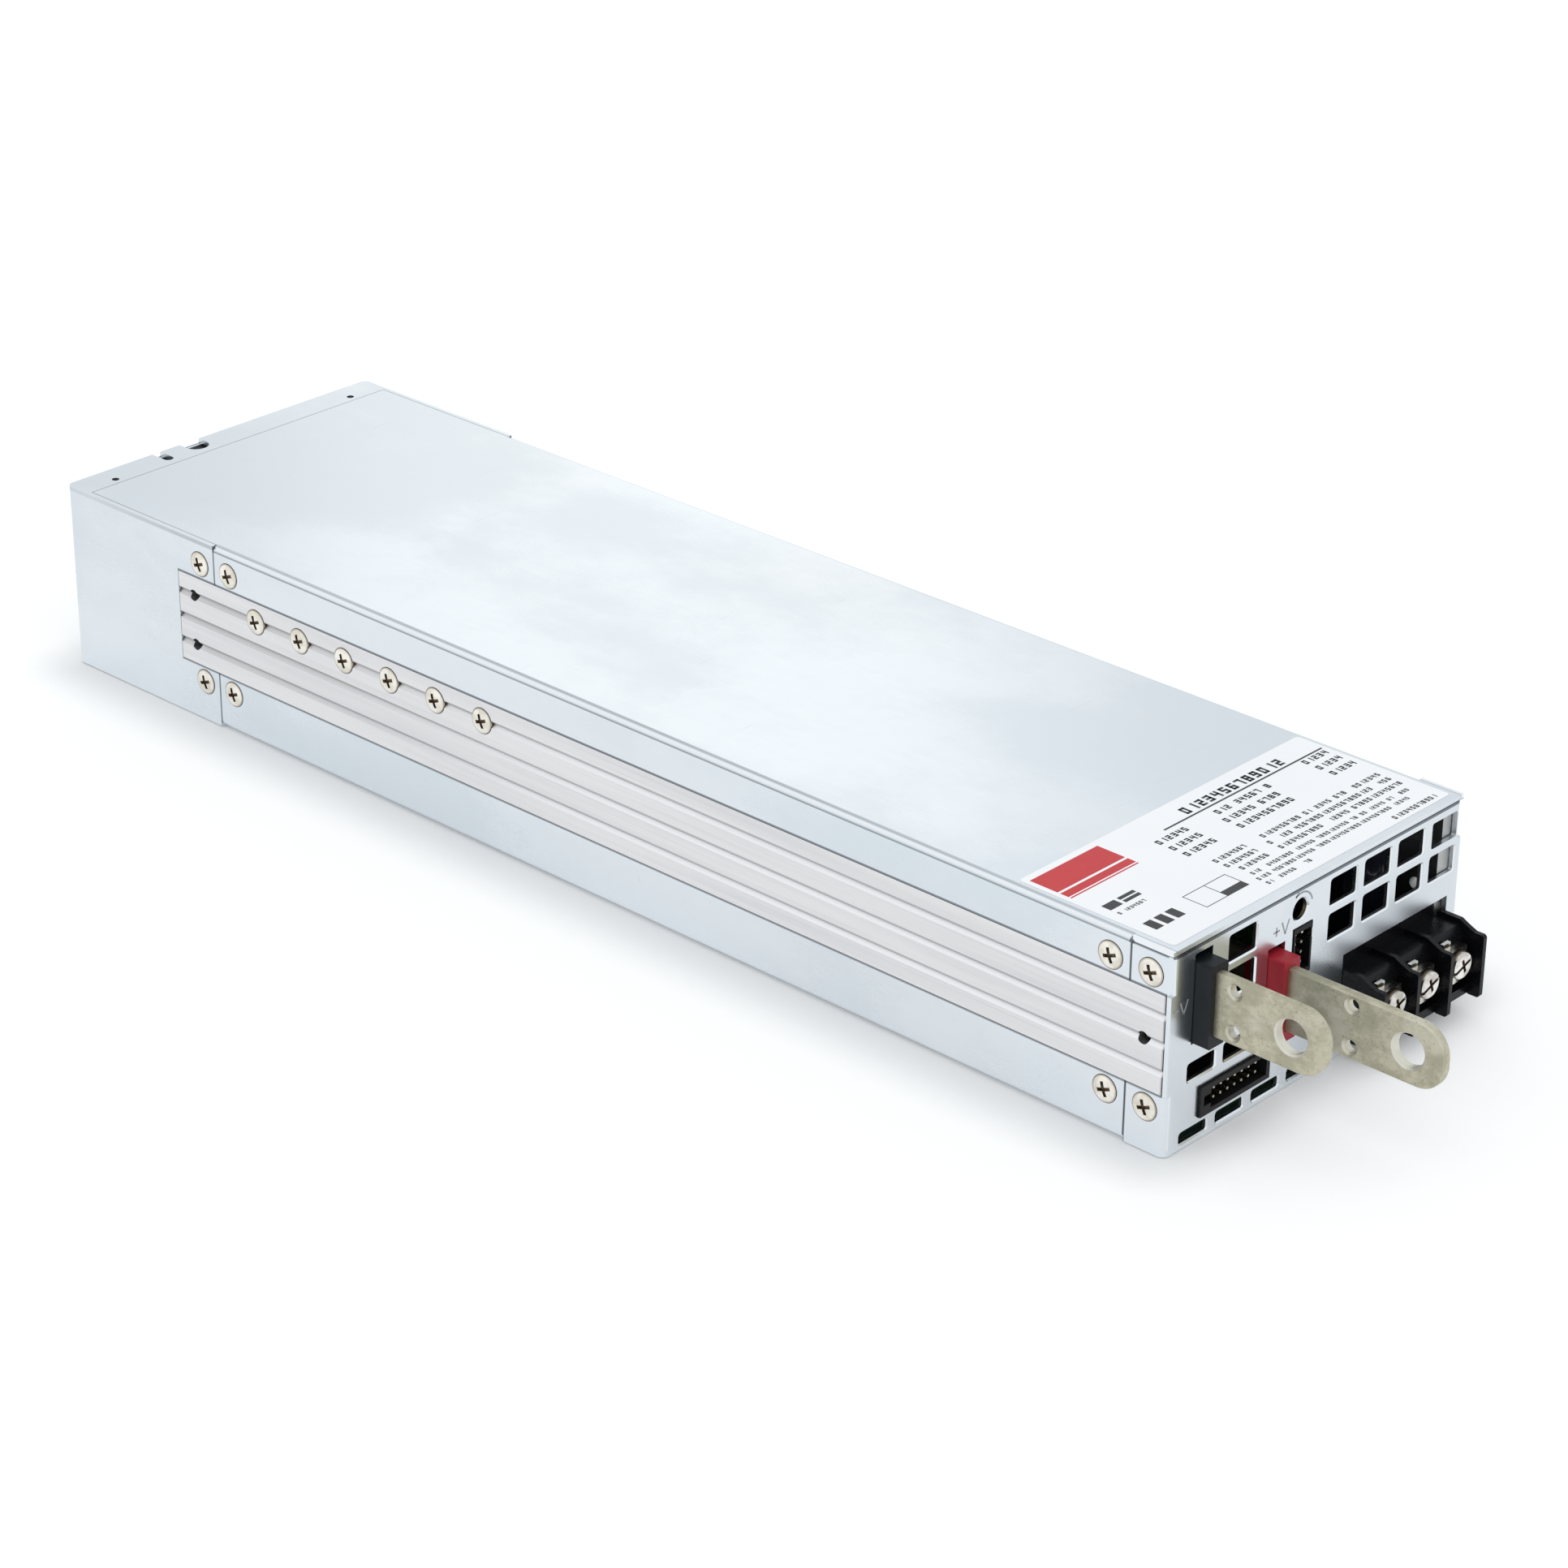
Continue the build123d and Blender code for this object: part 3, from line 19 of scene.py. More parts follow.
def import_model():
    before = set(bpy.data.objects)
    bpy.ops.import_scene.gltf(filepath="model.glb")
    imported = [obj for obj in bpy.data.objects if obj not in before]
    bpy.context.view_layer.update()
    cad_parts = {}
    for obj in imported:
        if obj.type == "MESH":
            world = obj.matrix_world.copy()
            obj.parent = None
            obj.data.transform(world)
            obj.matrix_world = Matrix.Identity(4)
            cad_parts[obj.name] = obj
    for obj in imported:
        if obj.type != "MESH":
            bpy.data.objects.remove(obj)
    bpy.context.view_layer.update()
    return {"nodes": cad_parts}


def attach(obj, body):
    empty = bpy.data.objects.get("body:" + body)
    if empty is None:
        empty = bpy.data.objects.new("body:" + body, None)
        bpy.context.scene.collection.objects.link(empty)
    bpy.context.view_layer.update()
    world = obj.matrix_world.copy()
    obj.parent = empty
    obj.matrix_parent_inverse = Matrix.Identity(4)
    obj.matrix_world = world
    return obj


LOG = logging.getLogger("power_supply")
MM = 0.001
SOFT_EDGE = 0.00008
Triple = tuple[float, float, float]
Colour = Triple

# A Mix node has its colour sockets behind those for numbers and vectors.
MIX_FACTOR, MIX_FIRST, MIX_SECOND, MIX_RESULT = 0, 6, 7, 2


# Shader maths


class Wire:
    """A shader number or colour whose arithmetic adds Math nodes to its graph."""

    def __init__(self, graph: "Graph", socket: bpy.types.NodeSocket) -> None:
        """Wraps one output socket.

        Args:
            graph: The graph that the socket belongs to.
            socket: The output socket.
        """
        self.graph = graph
        self.socket = socket

    def _math(self, operation: str, first: Any, second: Any = 0.0) -> "Wire":
        """Adds one Math node and returns its result.

        Args:
            operation: The Math node's operation.
            first: The first number or wire.
            second: The second number or wire.

        Returns:
            The wire that carries the result.
        """
        return self.graph.add("ShaderNodeMath", {"operation": operation}, {0: first, 1: second})

    def __add__(self, other: Any) -> "Wire":
        """Sum."""
        return self._math("ADD", self, other)

    def __radd__(self, other: Any) -> "Wire":
        """Sum, reflected."""
        return self._math("ADD", other, self)

    def __sub__(self, other: Any) -> "Wire":
        """Difference."""
        return self._math("SUBTRACT", self, other)

    def __rsub__(self, other: Any) -> "Wire":
        """Difference, reflected."""
        return self._math("SUBTRACT", other, self)

    def __mul__(self, other: Any) -> "Wire":
        """Product."""
        return self._math("MULTIPLY", self, other)

    def __rmul__(self, other: Any) -> "Wire":
        """Product, reflected."""
        return self._math("MULTIPLY", other, self)

    def size(self) -> "Wire":
        """The value without its sign."""
        return self._math("ABSOLUTE", self)

    def modulo(self, step: float) -> "Wire":
        """What is left of the value after whole steps."""
        return self._math("MODULO", self, step)

    def past(self, limit: float) -> "Wire":
        """How far the value is above the limit, else 0."""
        return self._math("MAXIMUM", self - limit, 0.0)

    def root(self) -> "Wire":
        """The square root."""
        return self._math("SQRT", self)

    def above(self, limit: float) -> "Wire":
        """1 where the value is above the limit, else 0."""
        return self._math("GREATER_THAN", self, limit)

    def within(self, low: float, high: float, edge: float = SOFT_EDGE) -> "Wire":
        """1 between two limits, falling softly to 0 outside them."""
        return self.spread(low - edge, low) * (1.0 - self.spread(high, high + edge))

    def spread(self, low: float, high: float) -> "Wire":
        """A smooth step from 0 at low to 1 at high."""
        return self.graph.add(
            "ShaderNodeMapRange",
            {"interpolation_type": "SMOOTHSTEP"},
            {0: self, 1: low, 2: high, 3: 0.0, 4: 1.0},
        )


class Graph:
    """The node graph of one material or of the world."""

    def __init__(self, owner: bpy.types.Material | bpy.types.World) -> None:
        """Empties the owner's node tree.

        Args:
            owner: The material or world that the graph belongs to.
        """
        owner.use_nodes = True
        self.owner = owner
        self.tree = owner.node_tree
        self.tree.nodes.clear()

    def node(
        self,
        kind: str,
        settings: dict[str, Any] | None = None,
        sockets: dict[Any, Any] | None = None,
    ) -> bpy.types.Node:
        """Adds any node.

        Args:
            kind: The node's type.
            settings: Properties that are set before the sockets.
            sockets: Values or wires, by socket name or number.

        Returns:
            The new node.
        """
        node = self.tree.nodes.new(kind)
        for key, value in (settings or {}).items():
            setattr(node, key, value)
        for key, value in (sockets or {}).items():
            if isinstance(value, Wire):
                self.tree.links.new(value.socket, node.inputs[key])
            else:
                node.inputs[key].default_value = value
        return node

    def add(
        self,
        kind: str,
        settings: dict[str, Any] | None = None,
        sockets: dict[Any, Any] | None = None,
        result: Any = 0,
    ) -> Wire:
        """Adds any node and returns the output with the name or number in result."""
        return Wire(self, self.node(kind, settings, sockets).outputs[result])

    def place(self, scale: Sequence[float] = (1, 1, 1)) -> Wire:
        """Object coordinates in metres, stretched along each axis.

        Args:
            scale: The factor along X, Y and Z.

        Returns:
            The stretched position.
        """
        where = self.add("ShaderNodeTexCoord", result="Object")
        return self.add("ShaderNodeMapping", sockets={"Vector": where, "Scale": tuple(scale)})

    def axes(self) -> list[Wire]:
        """The three object coordinates in metres."""
        node = self.node("ShaderNodeSeparateXYZ", sockets={"Vector": self.place()})
        return [Wire(self, output) for output in node.outputs]

    def rays(self) -> list[Wire]:
        """Whether a ray is a camera, a glossy or a transmission ray: 1 or 0 each."""
        path = self.node("ShaderNodeLightPath")
        kinds = ("Is Camera Ray", "Is Glossy Ray", "Is Transmission Ray")
        return [Wire(self, path.outputs[kind]) for kind in kinds]

    def noise(self, scale: Sequence[float], detail: float = 3.0, roughness: float = 0.55) -> Wire:
        """Fractal noise from 0 to 1 whose cells are 1 / scale metres along each axis."""
        return self.add(
            "ShaderNodeTexNoise",
            sockets={
                "Vector": self.place(scale),
                "Scale": 1.0,
                "Detail": detail,
                "Roughness": roughness,
            },
        )

    def blend(self, amount: Any, first: Any, second: Any) -> Wire:
        """Mixes two colours.

        Args:
            amount: How much of the second colour, from 0 to 1.
            first: The first colour or wire.
            second: The second colour or wire.

        Returns:
            The mixed colour.
        """
        ends = [(*end, 1.0) if isinstance(end, tuple) else end for end in (first, second)]
        sockets = {MIX_FACTOR: amount, MIX_FIRST: ends[0], MIX_SECOND: ends[1]}
        return self.add("ShaderNodeMix", {"data_type": "RGBA"}, sockets, MIX_RESULT)

    def relief(self, height: Wire, strength: float, depth: float) -> Wire:
        """A Bump node's normal from a height between 0 and 1."""
        sockets = {"Height": height, "Strength": strength, "Distance": depth}
        return self.add("ShaderNodeBump", sockets=sockets, result="Normal")

    def surface(
        self,
        colour: Wire,
        roughness: Any,
        normal: Wire | None = None,
        others: dict[str, Any] | None = None,
    ) -> Wire:
        """A Principled shader.

        Args:
            colour: Its base colour.
            roughness: Its roughness.
            normal: Its normal, where it has a relief.
            others: Values or wires for its other sockets, by name.

        Returns:
            The shader.
        """
        sockets = {"Base Color": colour, "Roughness": roughness, **(others or {})}
        if normal is not None:
            sockets["Normal"] = normal
        return self.add("ShaderNodeBsdfPrincipled", sockets=sockets)

    def close(self, shader: Wire) -> bpy.types.Material | bpy.types.World:
        """Joins a shader to a new output and returns the graph's owner."""
        of_world = isinstance(self.owner, bpy.types.World)
        kind = "ShaderNodeOutputWorld" if of_world else "ShaderNodeOutputMaterial"
        self.node(kind, sockets={"Surface": shader})
        return self.owner


@dataclass(frozen=True)
class Band:
    """A stretch of one axis, in metres, with soft ends and a weight."""

    low: float
    high: float
    edge: float = SOFT_EDGE
    weight: float = 1.0

    def on(self, place: Wire) -> Wire:
        """The weight inside the stretch, falling softly to 0 past its ends."""
        return place.within(self.low, self.high, self.edge) * self.weight


# Finishes


@dataclass(frozen=True)
class Finish:
    """A finish with soft clouding, a directional grain and a fine relief.

    The colour is the mean colour mixed towards shade by the clouds, and the roughness runs
    between two limits with the grain.
    """

    name: str
    colour: Colour
    shade: Colour
    roughness: tuple[float, float]
    metallic: float = 0.0
    clouds: Triple = (40.0, 40.0, 40.0)
    cloud_contrast: tuple[float, float] = (0.3, 0.7)
    grain: Triple = (1500.0, 1500.0, 1500.0)
    grain_contrast: tuple[float, float] = (0.55, 0.8)
    grain_relief: float = 0.5
    grain_depth: float = 0.00002
    grain_tint: float = 0.06
    coat: float = 0.0
    sheen_level: float = 0.5

    def make(self) -> bpy.types.Material:
        """Builds the finish's material.

        The darkest grains are 2.5 grain_tint darker than the shade, and cover up to
        4 grain_tint of the base colour.
        """
        graph = Graph(bpy.data.materials.new(self.name))
        cloud = graph.noise(self.clouds, 4.0).spread(*self.cloud_contrast)
        grain = graph.noise(self.grain, 2.0)
        base = graph.blend(cloud, self.colour, self.shade)
        dark = tuple(part * (1.0 - 2.5 * self.grain_tint) for part in self.shade)
        cover = grain.spread(*self.grain_contrast) * (4.0 * self.grain_tint)
        base = graph.blend(cover, base, dark)
        low, high = self.roughness
        others = {
            "Metallic": self.metallic,
            "Specular IOR Level": self.sheen_level,
            "Coat Weight": self.coat,
        }
        normal = graph.relief(grain, self.grain_relief, self.grain_depth)
        return graph.close(graph.surface(base, low + (high - low) * grain, normal, others))


@dataclass(frozen=True)
class ZincSheet:
    """Bright zinc-plated steel: cloudy patches, a faint spangle, scuffs and a rolled grain.

    The bands say where painted shade draws a line along the sheets' cut edges, gaps and
    bends, and how dark it is: shade in the gaps and under the top cover's edge, and darker
    reflections in the bends. On the side walls the edges run along the heatsink up to
    sink_rear and up the two joints, and the front joint ends in a dark relief under the
    bend. On the front the brow runs under the top cover. Behind the rear joint one line
    follows the bend between the top and the side walls, fading to the rear. Before it there
    are two: a weak one along the bend's upper edge, the crown, and a stronger one along its
    foot. Lengths are in metres.
    """

    name: str
    colour: Colour = (0.80, 0.845, 0.885)
    shade: Colour = (0.67, 0.735, 0.785)
    warm: Colour = (0.78, 0.79, 0.80)
    scuff: Colour = (0.50, 0.54, 0.57)
    # the colour of the painted shade along the sheets' edges, gaps and bends
    edge_shade: Colour = (0.16, 0.18, 0.21)
    # the colour of the painted highlight on the bright rims and bends
    painted_highlight: Colour = (0.93, 0.95, 0.97)
    wide_share: float = 0.45
    cloud_share: float = 0.52
    spangle_share: float = 0.12
    speck_share: float = 0.14
    scratch_share: float = 0.22
    painted_highlight_share: float = 0.85
    edge_shade_share: float = 0.7
    side: float = 0.0424
    end: float = 0.1496
    sink_rear: float = 0.1142
    joint_rear: float = 0.1024
    upper_rail: Band = Band(0.03222, 0.03256, weight=1.2)
    lower_rail: Band = Band(0.01190, 0.01218)
    front_joint: Band = Band(-0.14100, -0.14058, weight=1.25)
    rear_joint: Band = Band(0.10214, 0.10252)
    relief_side: float = 0.0420
    relief_y: Band = Band(-0.14125, -0.14035, 0.0002)
    relief_z: Band = Band(0.03975, 0.04030, 0.0002, 1.4)
    brow: Band = Band(0.03940, 0.04012, weight=1.35)
    bend_x: Band = Band(0.04190, 0.04236, 0.00025)
    bend_z: Band = Band(0.04010, 0.04080, 0.00020)
    bend_weight: float = 1.35
    bend_fade: float = 0.75
    bend_fading: tuple[float, float] = (0.105, 0.146)
    crown: Band = Band(0.04148, 0.04172, weight=0.45)
    crown_foot: float = 0.0405
    foot: Band = Band(0.03968, 0.04012, 0.00010, 0.95)
    bright_side: float = 0.04182
    bright_foot: float = 0.04018
    rim_y: Band = Band(0.14960, 0.14992, 0.00004)
    rim_z: Band = Band(0.0012, 0.0392)
    rim_side: tuple[float, float] = (0.0414, 0.0418)

    def painted_edge_shade(self, graph: Graph) -> Wire:
        """How dark the painted shade along the sheets' edges, gaps and bends is, from 0 to 1."""
        x, y, z = graph.axes()
        wall, ends = x.size().above(self.side), y.size().above(self.end)
        rail = (self.upper_rail.on(z) + self.lower_rail.on(z)) * (1.0 - y.above(self.sink_rear))
        joint = self.front_joint.on(y) + self.rear_joint.on(y)
        relief = x.size().above(self.relief_side) * self.relief_y.on(y) * self.relief_z.on(z)
        behind = y.above(self.joint_rear)
        fading = self.bend_weight - self.bend_fade * y.spread(*self.bend_fading)
        bend = self.bend_x.on(x.size()) * self.bend_z.on(z) * behind * fading
        crown = self.crown.on(x.size()) * z.above(self.crown_foot)
        before = (1.0 - behind) * (crown + wall * self.foot.on(z))
        return wall * (rail + joint) + relief + ends * self.brow.on(z) + bend + before

    def bright(self, graph: Graph) -> Wire:
        """1 where a painted highlight lies: the openings' rims in both ends, and the top's long bends.

        The rims lie just behind the faces. The long bends are bright before the rear joint.
        """
        x, y, z = graph.axes()
        inside = (1.0 - x.size().spread(*self.rim_side)) * self.rim_z.on(z)
        before = 1.0 - y.above(self.joint_rear)
        long_bends = before * x.size().above(self.bright_side) * z.above(self.bright_foot)
        return self.rim_y.on(y.size()) * inside + long_bends

    def make(self) -> bpy.types.Material:
        """Builds the sheet's material.

        Clouds about 60 mm across shift the colour to a bluish grey and wider ones to a
        warmer grey, 2 mm cells shift it slightly, specks and sparse fine lines darken it,
        and a grain drawn out along Y sets the roughness and a fine relief.
        """
        graph = Graph(bpy.data.materials.new(self.name))
        cloud = graph.noise((17.0, 12.0, 20.0), 5.0, 0.6).spread(0.42, 0.60)
        wide = graph.noise((9.0, 6.0, 14.0), 2.0).spread(0.45, 0.62)
        spangle = graph.add(
            "ShaderNodeTexVoronoi",
            {"feature": "SMOOTH_F1"},
            {"Vector": graph.place((420.0, 300.0, 420.0)), "Scale": 1.0},
            result="Distance",
        )
        grain = graph.noise((2600.0, 55.0, 2600.0), 3.0)
        speck = graph.noise((1900.0, 1900.0, 1900.0), 1.0).spread(0.66, 0.78)
        scratch = graph.noise((60.0, 1900.0, 900.0), 1.0).spread(0.735, 0.80)
        wear = speck * self.speck_share + scratch * self.scratch_share
        base = graph.blend(wide * self.wide_share, self.colour, self.warm)
        base = graph.blend(cloud * self.cloud_share, base, self.shade)
        base = graph.blend(spangle * self.spangle_share, base, self.shade)
        base = graph.blend(wear, base, self.scuff)
        # painted highlight on the openings' rims and the top's long bends
        base = graph.blend(self.bright(graph) * self.painted_highlight_share, base, self.painted_highlight)
        # painted shade: dark lines along the sheets' edges, gaps and bends
        base = graph.blend(self.painted_edge_shade(graph) * self.edge_shade_share, base, self.edge_shade)
        rough = 0.215 + 0.07 * grain + 0.05 * cloud
        normal = graph.relief(grain + speck * 0.5, 0.25, 0.00001)
        return graph.close(graph.surface(base, rough, normal, {"Metallic": 1.0}))


@dataclass(frozen=True)
class GroovedSink:
    """Drawn aluminium with painted shade on its V grooves' upper flanks.

    upper_flank, lower_flank and groove_end are heights over a groove's centre line.
    Lengths are in metres, and depths count from the outer face.
    """

    name: str
    colour: Colour = (0.835, 0.825, 0.83)
    shade: Colour = (0.745, 0.74, 0.75)
    streak: Colour = (0.52, 0.52, 0.54)
    # the colour of the painted shade on the grooves' upper flanks, their ends and the front tip
    painted_shade: Colour = (0.27, 0.26, 0.27)
    # painted shade and painted highlight colours for the grooves' lower flanks
    flank: Colour = (0.60, 0.57, 0.58)
    gleam: Colour = (0.97, 0.96, 0.97)
    # the colour of the painted shade on the faces turned to the inside
    inner: Colour = (0.42, 0.42, 0.41)
    streak_share: float = 0.22
    flank_share: float = 0.55
    gleam_share: float = 0.35
    inner_share: float = 0.8
    tip_share: float = 0.75
    face: float = 0.0425
    middle: float = 0.0222
    pitch: float = 0.0056
    grooves: int = 3
    groove_depth: float = 0.0009
    groove_reach: float = 1.4
    upper_flank: Band = Band(0.00018, 0.00078, 0.00022, 0.62)
    lower_flank: Band = Band(-0.00070, -0.00008, 0.00010)
    groove_end: Band = Band(-0.001, 0.00050, weight=0.85)
    rear_end: tuple[float, float] = (0.1132, 0.1140)
    front_tip: tuple[float, float] = (-0.14880, -0.14830)
    gleam_fading: tuple[float, float] = (-0.02, 0.11)
    inner_depths: tuple[float, float] = (0.0020, 0.0012)

    def make(self) -> bpy.types.Material:
        """Builds the extrusion's material.

        height = ((z - start) modulo pitch) - pitch / 2 is the height over the nearest
        groove's centre line, where start is half a pitch below the lowest groove. Painted
        shade lies just over that line. The flank below it gets painted shade at the rear and
        a painted highlight towards the front. Painted shade also darkens the faces turned to
        the inside, the grooves' ends at the rear panel and the bar's last half millimetre at
        the front panel.
        """
        graph = Graph(bpy.data.materials.new(self.name))
        cloud = graph.noise((60.0, 9.0, 220.0), 4.0).spread(0.3, 0.7)
        line = graph.noise((2800.0, 12.0, 2800.0), 3.0)
        x, y, z = graph.axes()
        wall = x.size().above(self.face - self.groove_depth)
        reach = self.groove_reach * self.pitch
        grooved = wall * z.within(self.middle - reach, self.middle + reach)
        start = self.middle - self.grooves / 2 * self.pitch
        height = (z - start).modulo(self.pitch) - self.pitch / 2
        upper, lower = grooved * self.upper_flank.on(height), grooved * self.lower_flank.on(height)
        end = grooved * self.groove_end.on(height.size()) * y.spread(*self.rear_end)
        tip = wall * (1.0 - y.spread(*self.front_tip)) * self.tip_share
        inside = 1.0 - x.size().spread(*(self.face - depth for depth in self.inner_depths))
        front = 1.0 - y.spread(*self.gleam_fading)
        flank = graph.blend(front, self.flank, self.gleam)
        base = graph.blend(cloud, self.colour, self.shade)
        base = graph.blend(line.spread(0.5, 0.75) * self.streak_share, base, self.streak)
        # painted shade at the rear of the lower flanks, turning to a painted highlight towards the front
        base = graph.blend(lower * (self.flank_share + self.gleam_share * front), base, flank)
        # painted shade on the grooves' upper flanks, at their rear ends and at the front tip
        base = graph.blend(upper + end + tip, base, self.painted_shade)
        # painted shade on the faces turned to the inside
        base = graph.blend(inside * self.inner_share, base, self.inner)
        normal = graph.relief(line, 0.4, 0.00002)
        return graph.close(graph.surface(base, 0.30 + 0.14 * line, normal, {"Metallic": 1.0}))


@dataclass(frozen=True)
class PlatedScrew:
    """Nickel plating on a screw head, with painted shade: brown down in its cross recess and
    along its rim.

    axis is the number of the screw's axis. floor and rim are distances along it, of the
    recess's floor and of the head's rim, in metres.
    """

    name: str
    axis: int
    floor: float
    rim: float
    colour: Colour = (0.95, 0.915, 0.84)
    shade: Colour = (0.70, 0.64, 0.54)
    # painted shade colours: brown in the cross recess, nearly black further down, dark on the rim
    brown: Colour = (0.22, 0.165, 0.115)
    pit: Colour = (0.02, 0.015, 0.011)
    edge: Colour = (0.36, 0.31, 0.24)
    cloud_share: float = 0.8
    rim_share: float = 0.75
    rim_width: float = 0.00012
    pit_depth: float = 0.0005

    def make(self) -> bpy.types.Material:
        """Builds the plating from the distance along the axis.

        Painted shade turns the recess brown where the distance falls from the rim's to the
        floor's, and nearly black pit_depth further down. Painted shade also darkens the head's
        rim, the first rim_width over the rim's distance.
        """
        graph = Graph(bpy.data.materials.new(self.name))
        cloud = graph.noise((320.0, 320.0, 320.0), 3.0).spread(0.35, 0.65)
        grain = graph.noise((2200.0, 2200.0, 2200.0), 2.0)
        along = graph.axes()[self.axis].size()
        depth = 1.0 - along.spread(self.floor, self.rim)
        deep = 1.0 - along.spread(self.floor - self.pit_depth, self.floor)
        rim = along.within(self.rim, self.rim + self.rim_width)
        base = graph.blend(cloud * self.cloud_share, self.colour, self.shade)
        # painted shade on the head's rim and down the cross recess
        base = graph.blend(rim * self.rim_share, base, self.edge)
        base = graph.blend(depth, base, self.brown)
        base = graph.blend(deep, base, self.pit)
        rough = 0.16 + 0.12 * grain + 0.3 * depth
        normal = graph.relief(grain, 0.3, 0.00001)
        return graph.close(graph.surface(base, rough, normal, {"Metallic": 1.0}))


@dataclass(frozen=True)
class BarHole:
    """A hole through an output bar: its centre and radius, and how bright the painted highlight
    on its rim is.
    """

    y: float
    z: float
    radius: float
    shine: float


@dataclass(frozen=True)
class TinnedBar:
    """Tin-plated copper: olive-grey blotches, fine pitting and faint draw marks.

    holes are the negative bar's. The positive bar's are the same, moved by step along Y
    and Z, and between is the X of a plane between the two bars. Lengths are in metres.
    """

    name: str
    colour: Colour = (0.60, 0.565, 0.44)
    shade: Colour = (0.41, 0.39, 0.285)
    pit: Colour = (0.20, 0.185, 0.13)
    bloom: Colour = (0.70, 0.675, 0.57)
    # the colour of the painted highlight on the holes' bevelled rims
    painted_highlight: Colour = (0.80, 0.78, 0.70)
    blotch_share: float = 0.75
    mottle_share: float = 0.45
    bloom_share: float = 0.45
    pit_share: float = 0.45
    holes: tuple[BarHole, ...] = (
        BarHole(-0.1700, 0.0292, 0.0033, 0.75),
        BarHole(-0.1577, 0.03325, 0.00125, 0.45),
        BarHole(-0.1577, 0.02515, 0.00125, 0.45),
    )
    step: tuple[float, float] = (-0.0098, -0.0075)
    between: float = -0.0235
    rim: tuple[float, float] = (-0.0001, 0.0003)
    rim_edge: float = 0.0001

    def rims(self, graph: Graph) -> Wire:
        """How bright the painted highlight on the holes' bevelled rims is, from 0 to 1.

        Each rim is a ring around a hole's centre in the YZ plane, where the distance to
        the centre is the hole's radius plus rim's two values. The rings are worked out for
        each bar on its own side of the plane between the two.
        """
        flat = graph.place((0.0, 1.0, 1.0))
        left = 1.0 - graph.axes()[0].above(self.between)
        inner, outer = self.rim
        total: Any = 0.0
        for side, (move_y, move_z) in ((left, (0.0, 0.0)), (1.0 - left, self.step)):
            for hole in self.holes:
                centre = (0.0, hole.y + move_y, hole.z + move_z)
                reach = graph.add(
                    "ShaderNodeVectorMath", {"operation": "DISTANCE"}, {0: flat, 1: centre}, "Value"
                )
                ring = reach.within(hole.radius + inner, hole.radius + outer, self.rim_edge)
                total = side * (ring * hole.shine) + total
        return total

    def make(self) -> bpy.types.Material:
        """Builds the plating from 5 mm blotches, 1.5 mm mottling and 0.5 mm pits."""
        graph = Graph(bpy.data.materials.new(self.name))
        blotch = graph.noise((210.0, 150.0, 210.0), 5.0, 0.65).spread(0.40, 0.60)
        mottle = graph.noise((650.0, 520.0, 650.0), 4.0, 0.65)
        pits = graph.noise((2000.0, 2000.0, 2000.0), 1.0).spread(0.64, 0.76)
        bloom = graph.noise((90.0, 60.0, 90.0), 3.0).spread(0.52, 0.66)
        base = graph.blend(blotch * self.blotch_share, self.colour, self.shade)
        base = graph.blend(mottle.spread(0.45, 0.62) * self.mottle_share, base, self.shade)
        base = graph.blend(bloom * self.bloom_share, base, self.bloom)
        base = graph.blend(pits * self.pit_share, base, self.pit)
        # painted highlight on the holes' bevelled rims
        base = graph.blend(self.rims(graph), base, self.painted_highlight)
        rough = 0.36 + 0.16 * mottle + 0.08 * pits
        normal = graph.relief(mottle + pits * -0.6, 0.35, 0.00003)
        return graph.close(graph.surface(base, rough, normal, {"Metallic": 1.0}))


@dataclass(frozen=True)
class CircuitBoard:
    """Green solder mask with the faint pattern of the copper under it."""

    name: str
    mask: Colour = (0.012, 0.06, 0.028)
    copper: Colour = (0.02, 0.10, 0.04)
    weave_share: float = 0.2
    track_scale: float = 160.0

    def make(self) -> bpy.types.Material:
        """Builds the board's material: tracks are the borders of stretched square cells."""
        graph = Graph(bpy.data.materials.new(self.name))
        tracks = graph.add(
            "ShaderNodeTexBrick",
            {"offset": 0.35},
            {
                "Vector": graph.place(),
                "Scale": self.track_scale,
                "Mortar Size": 0.06,
                "Mortar Smooth": 0.2,
            },
            result="Fac",
        )
        weave = graph.noise((2200.0, 2200.0, 2200.0), 1.0)
        base = graph.blend(tracks, self.mask, self.copper)
        base = graph.blend(weave * self.weave_share, base, self.mask)
        normal = graph.relief(tracks, 0.3, 0.00003)
        return graph.close(graph.surface(base, 0.3 + 0.15 * weave, normal))


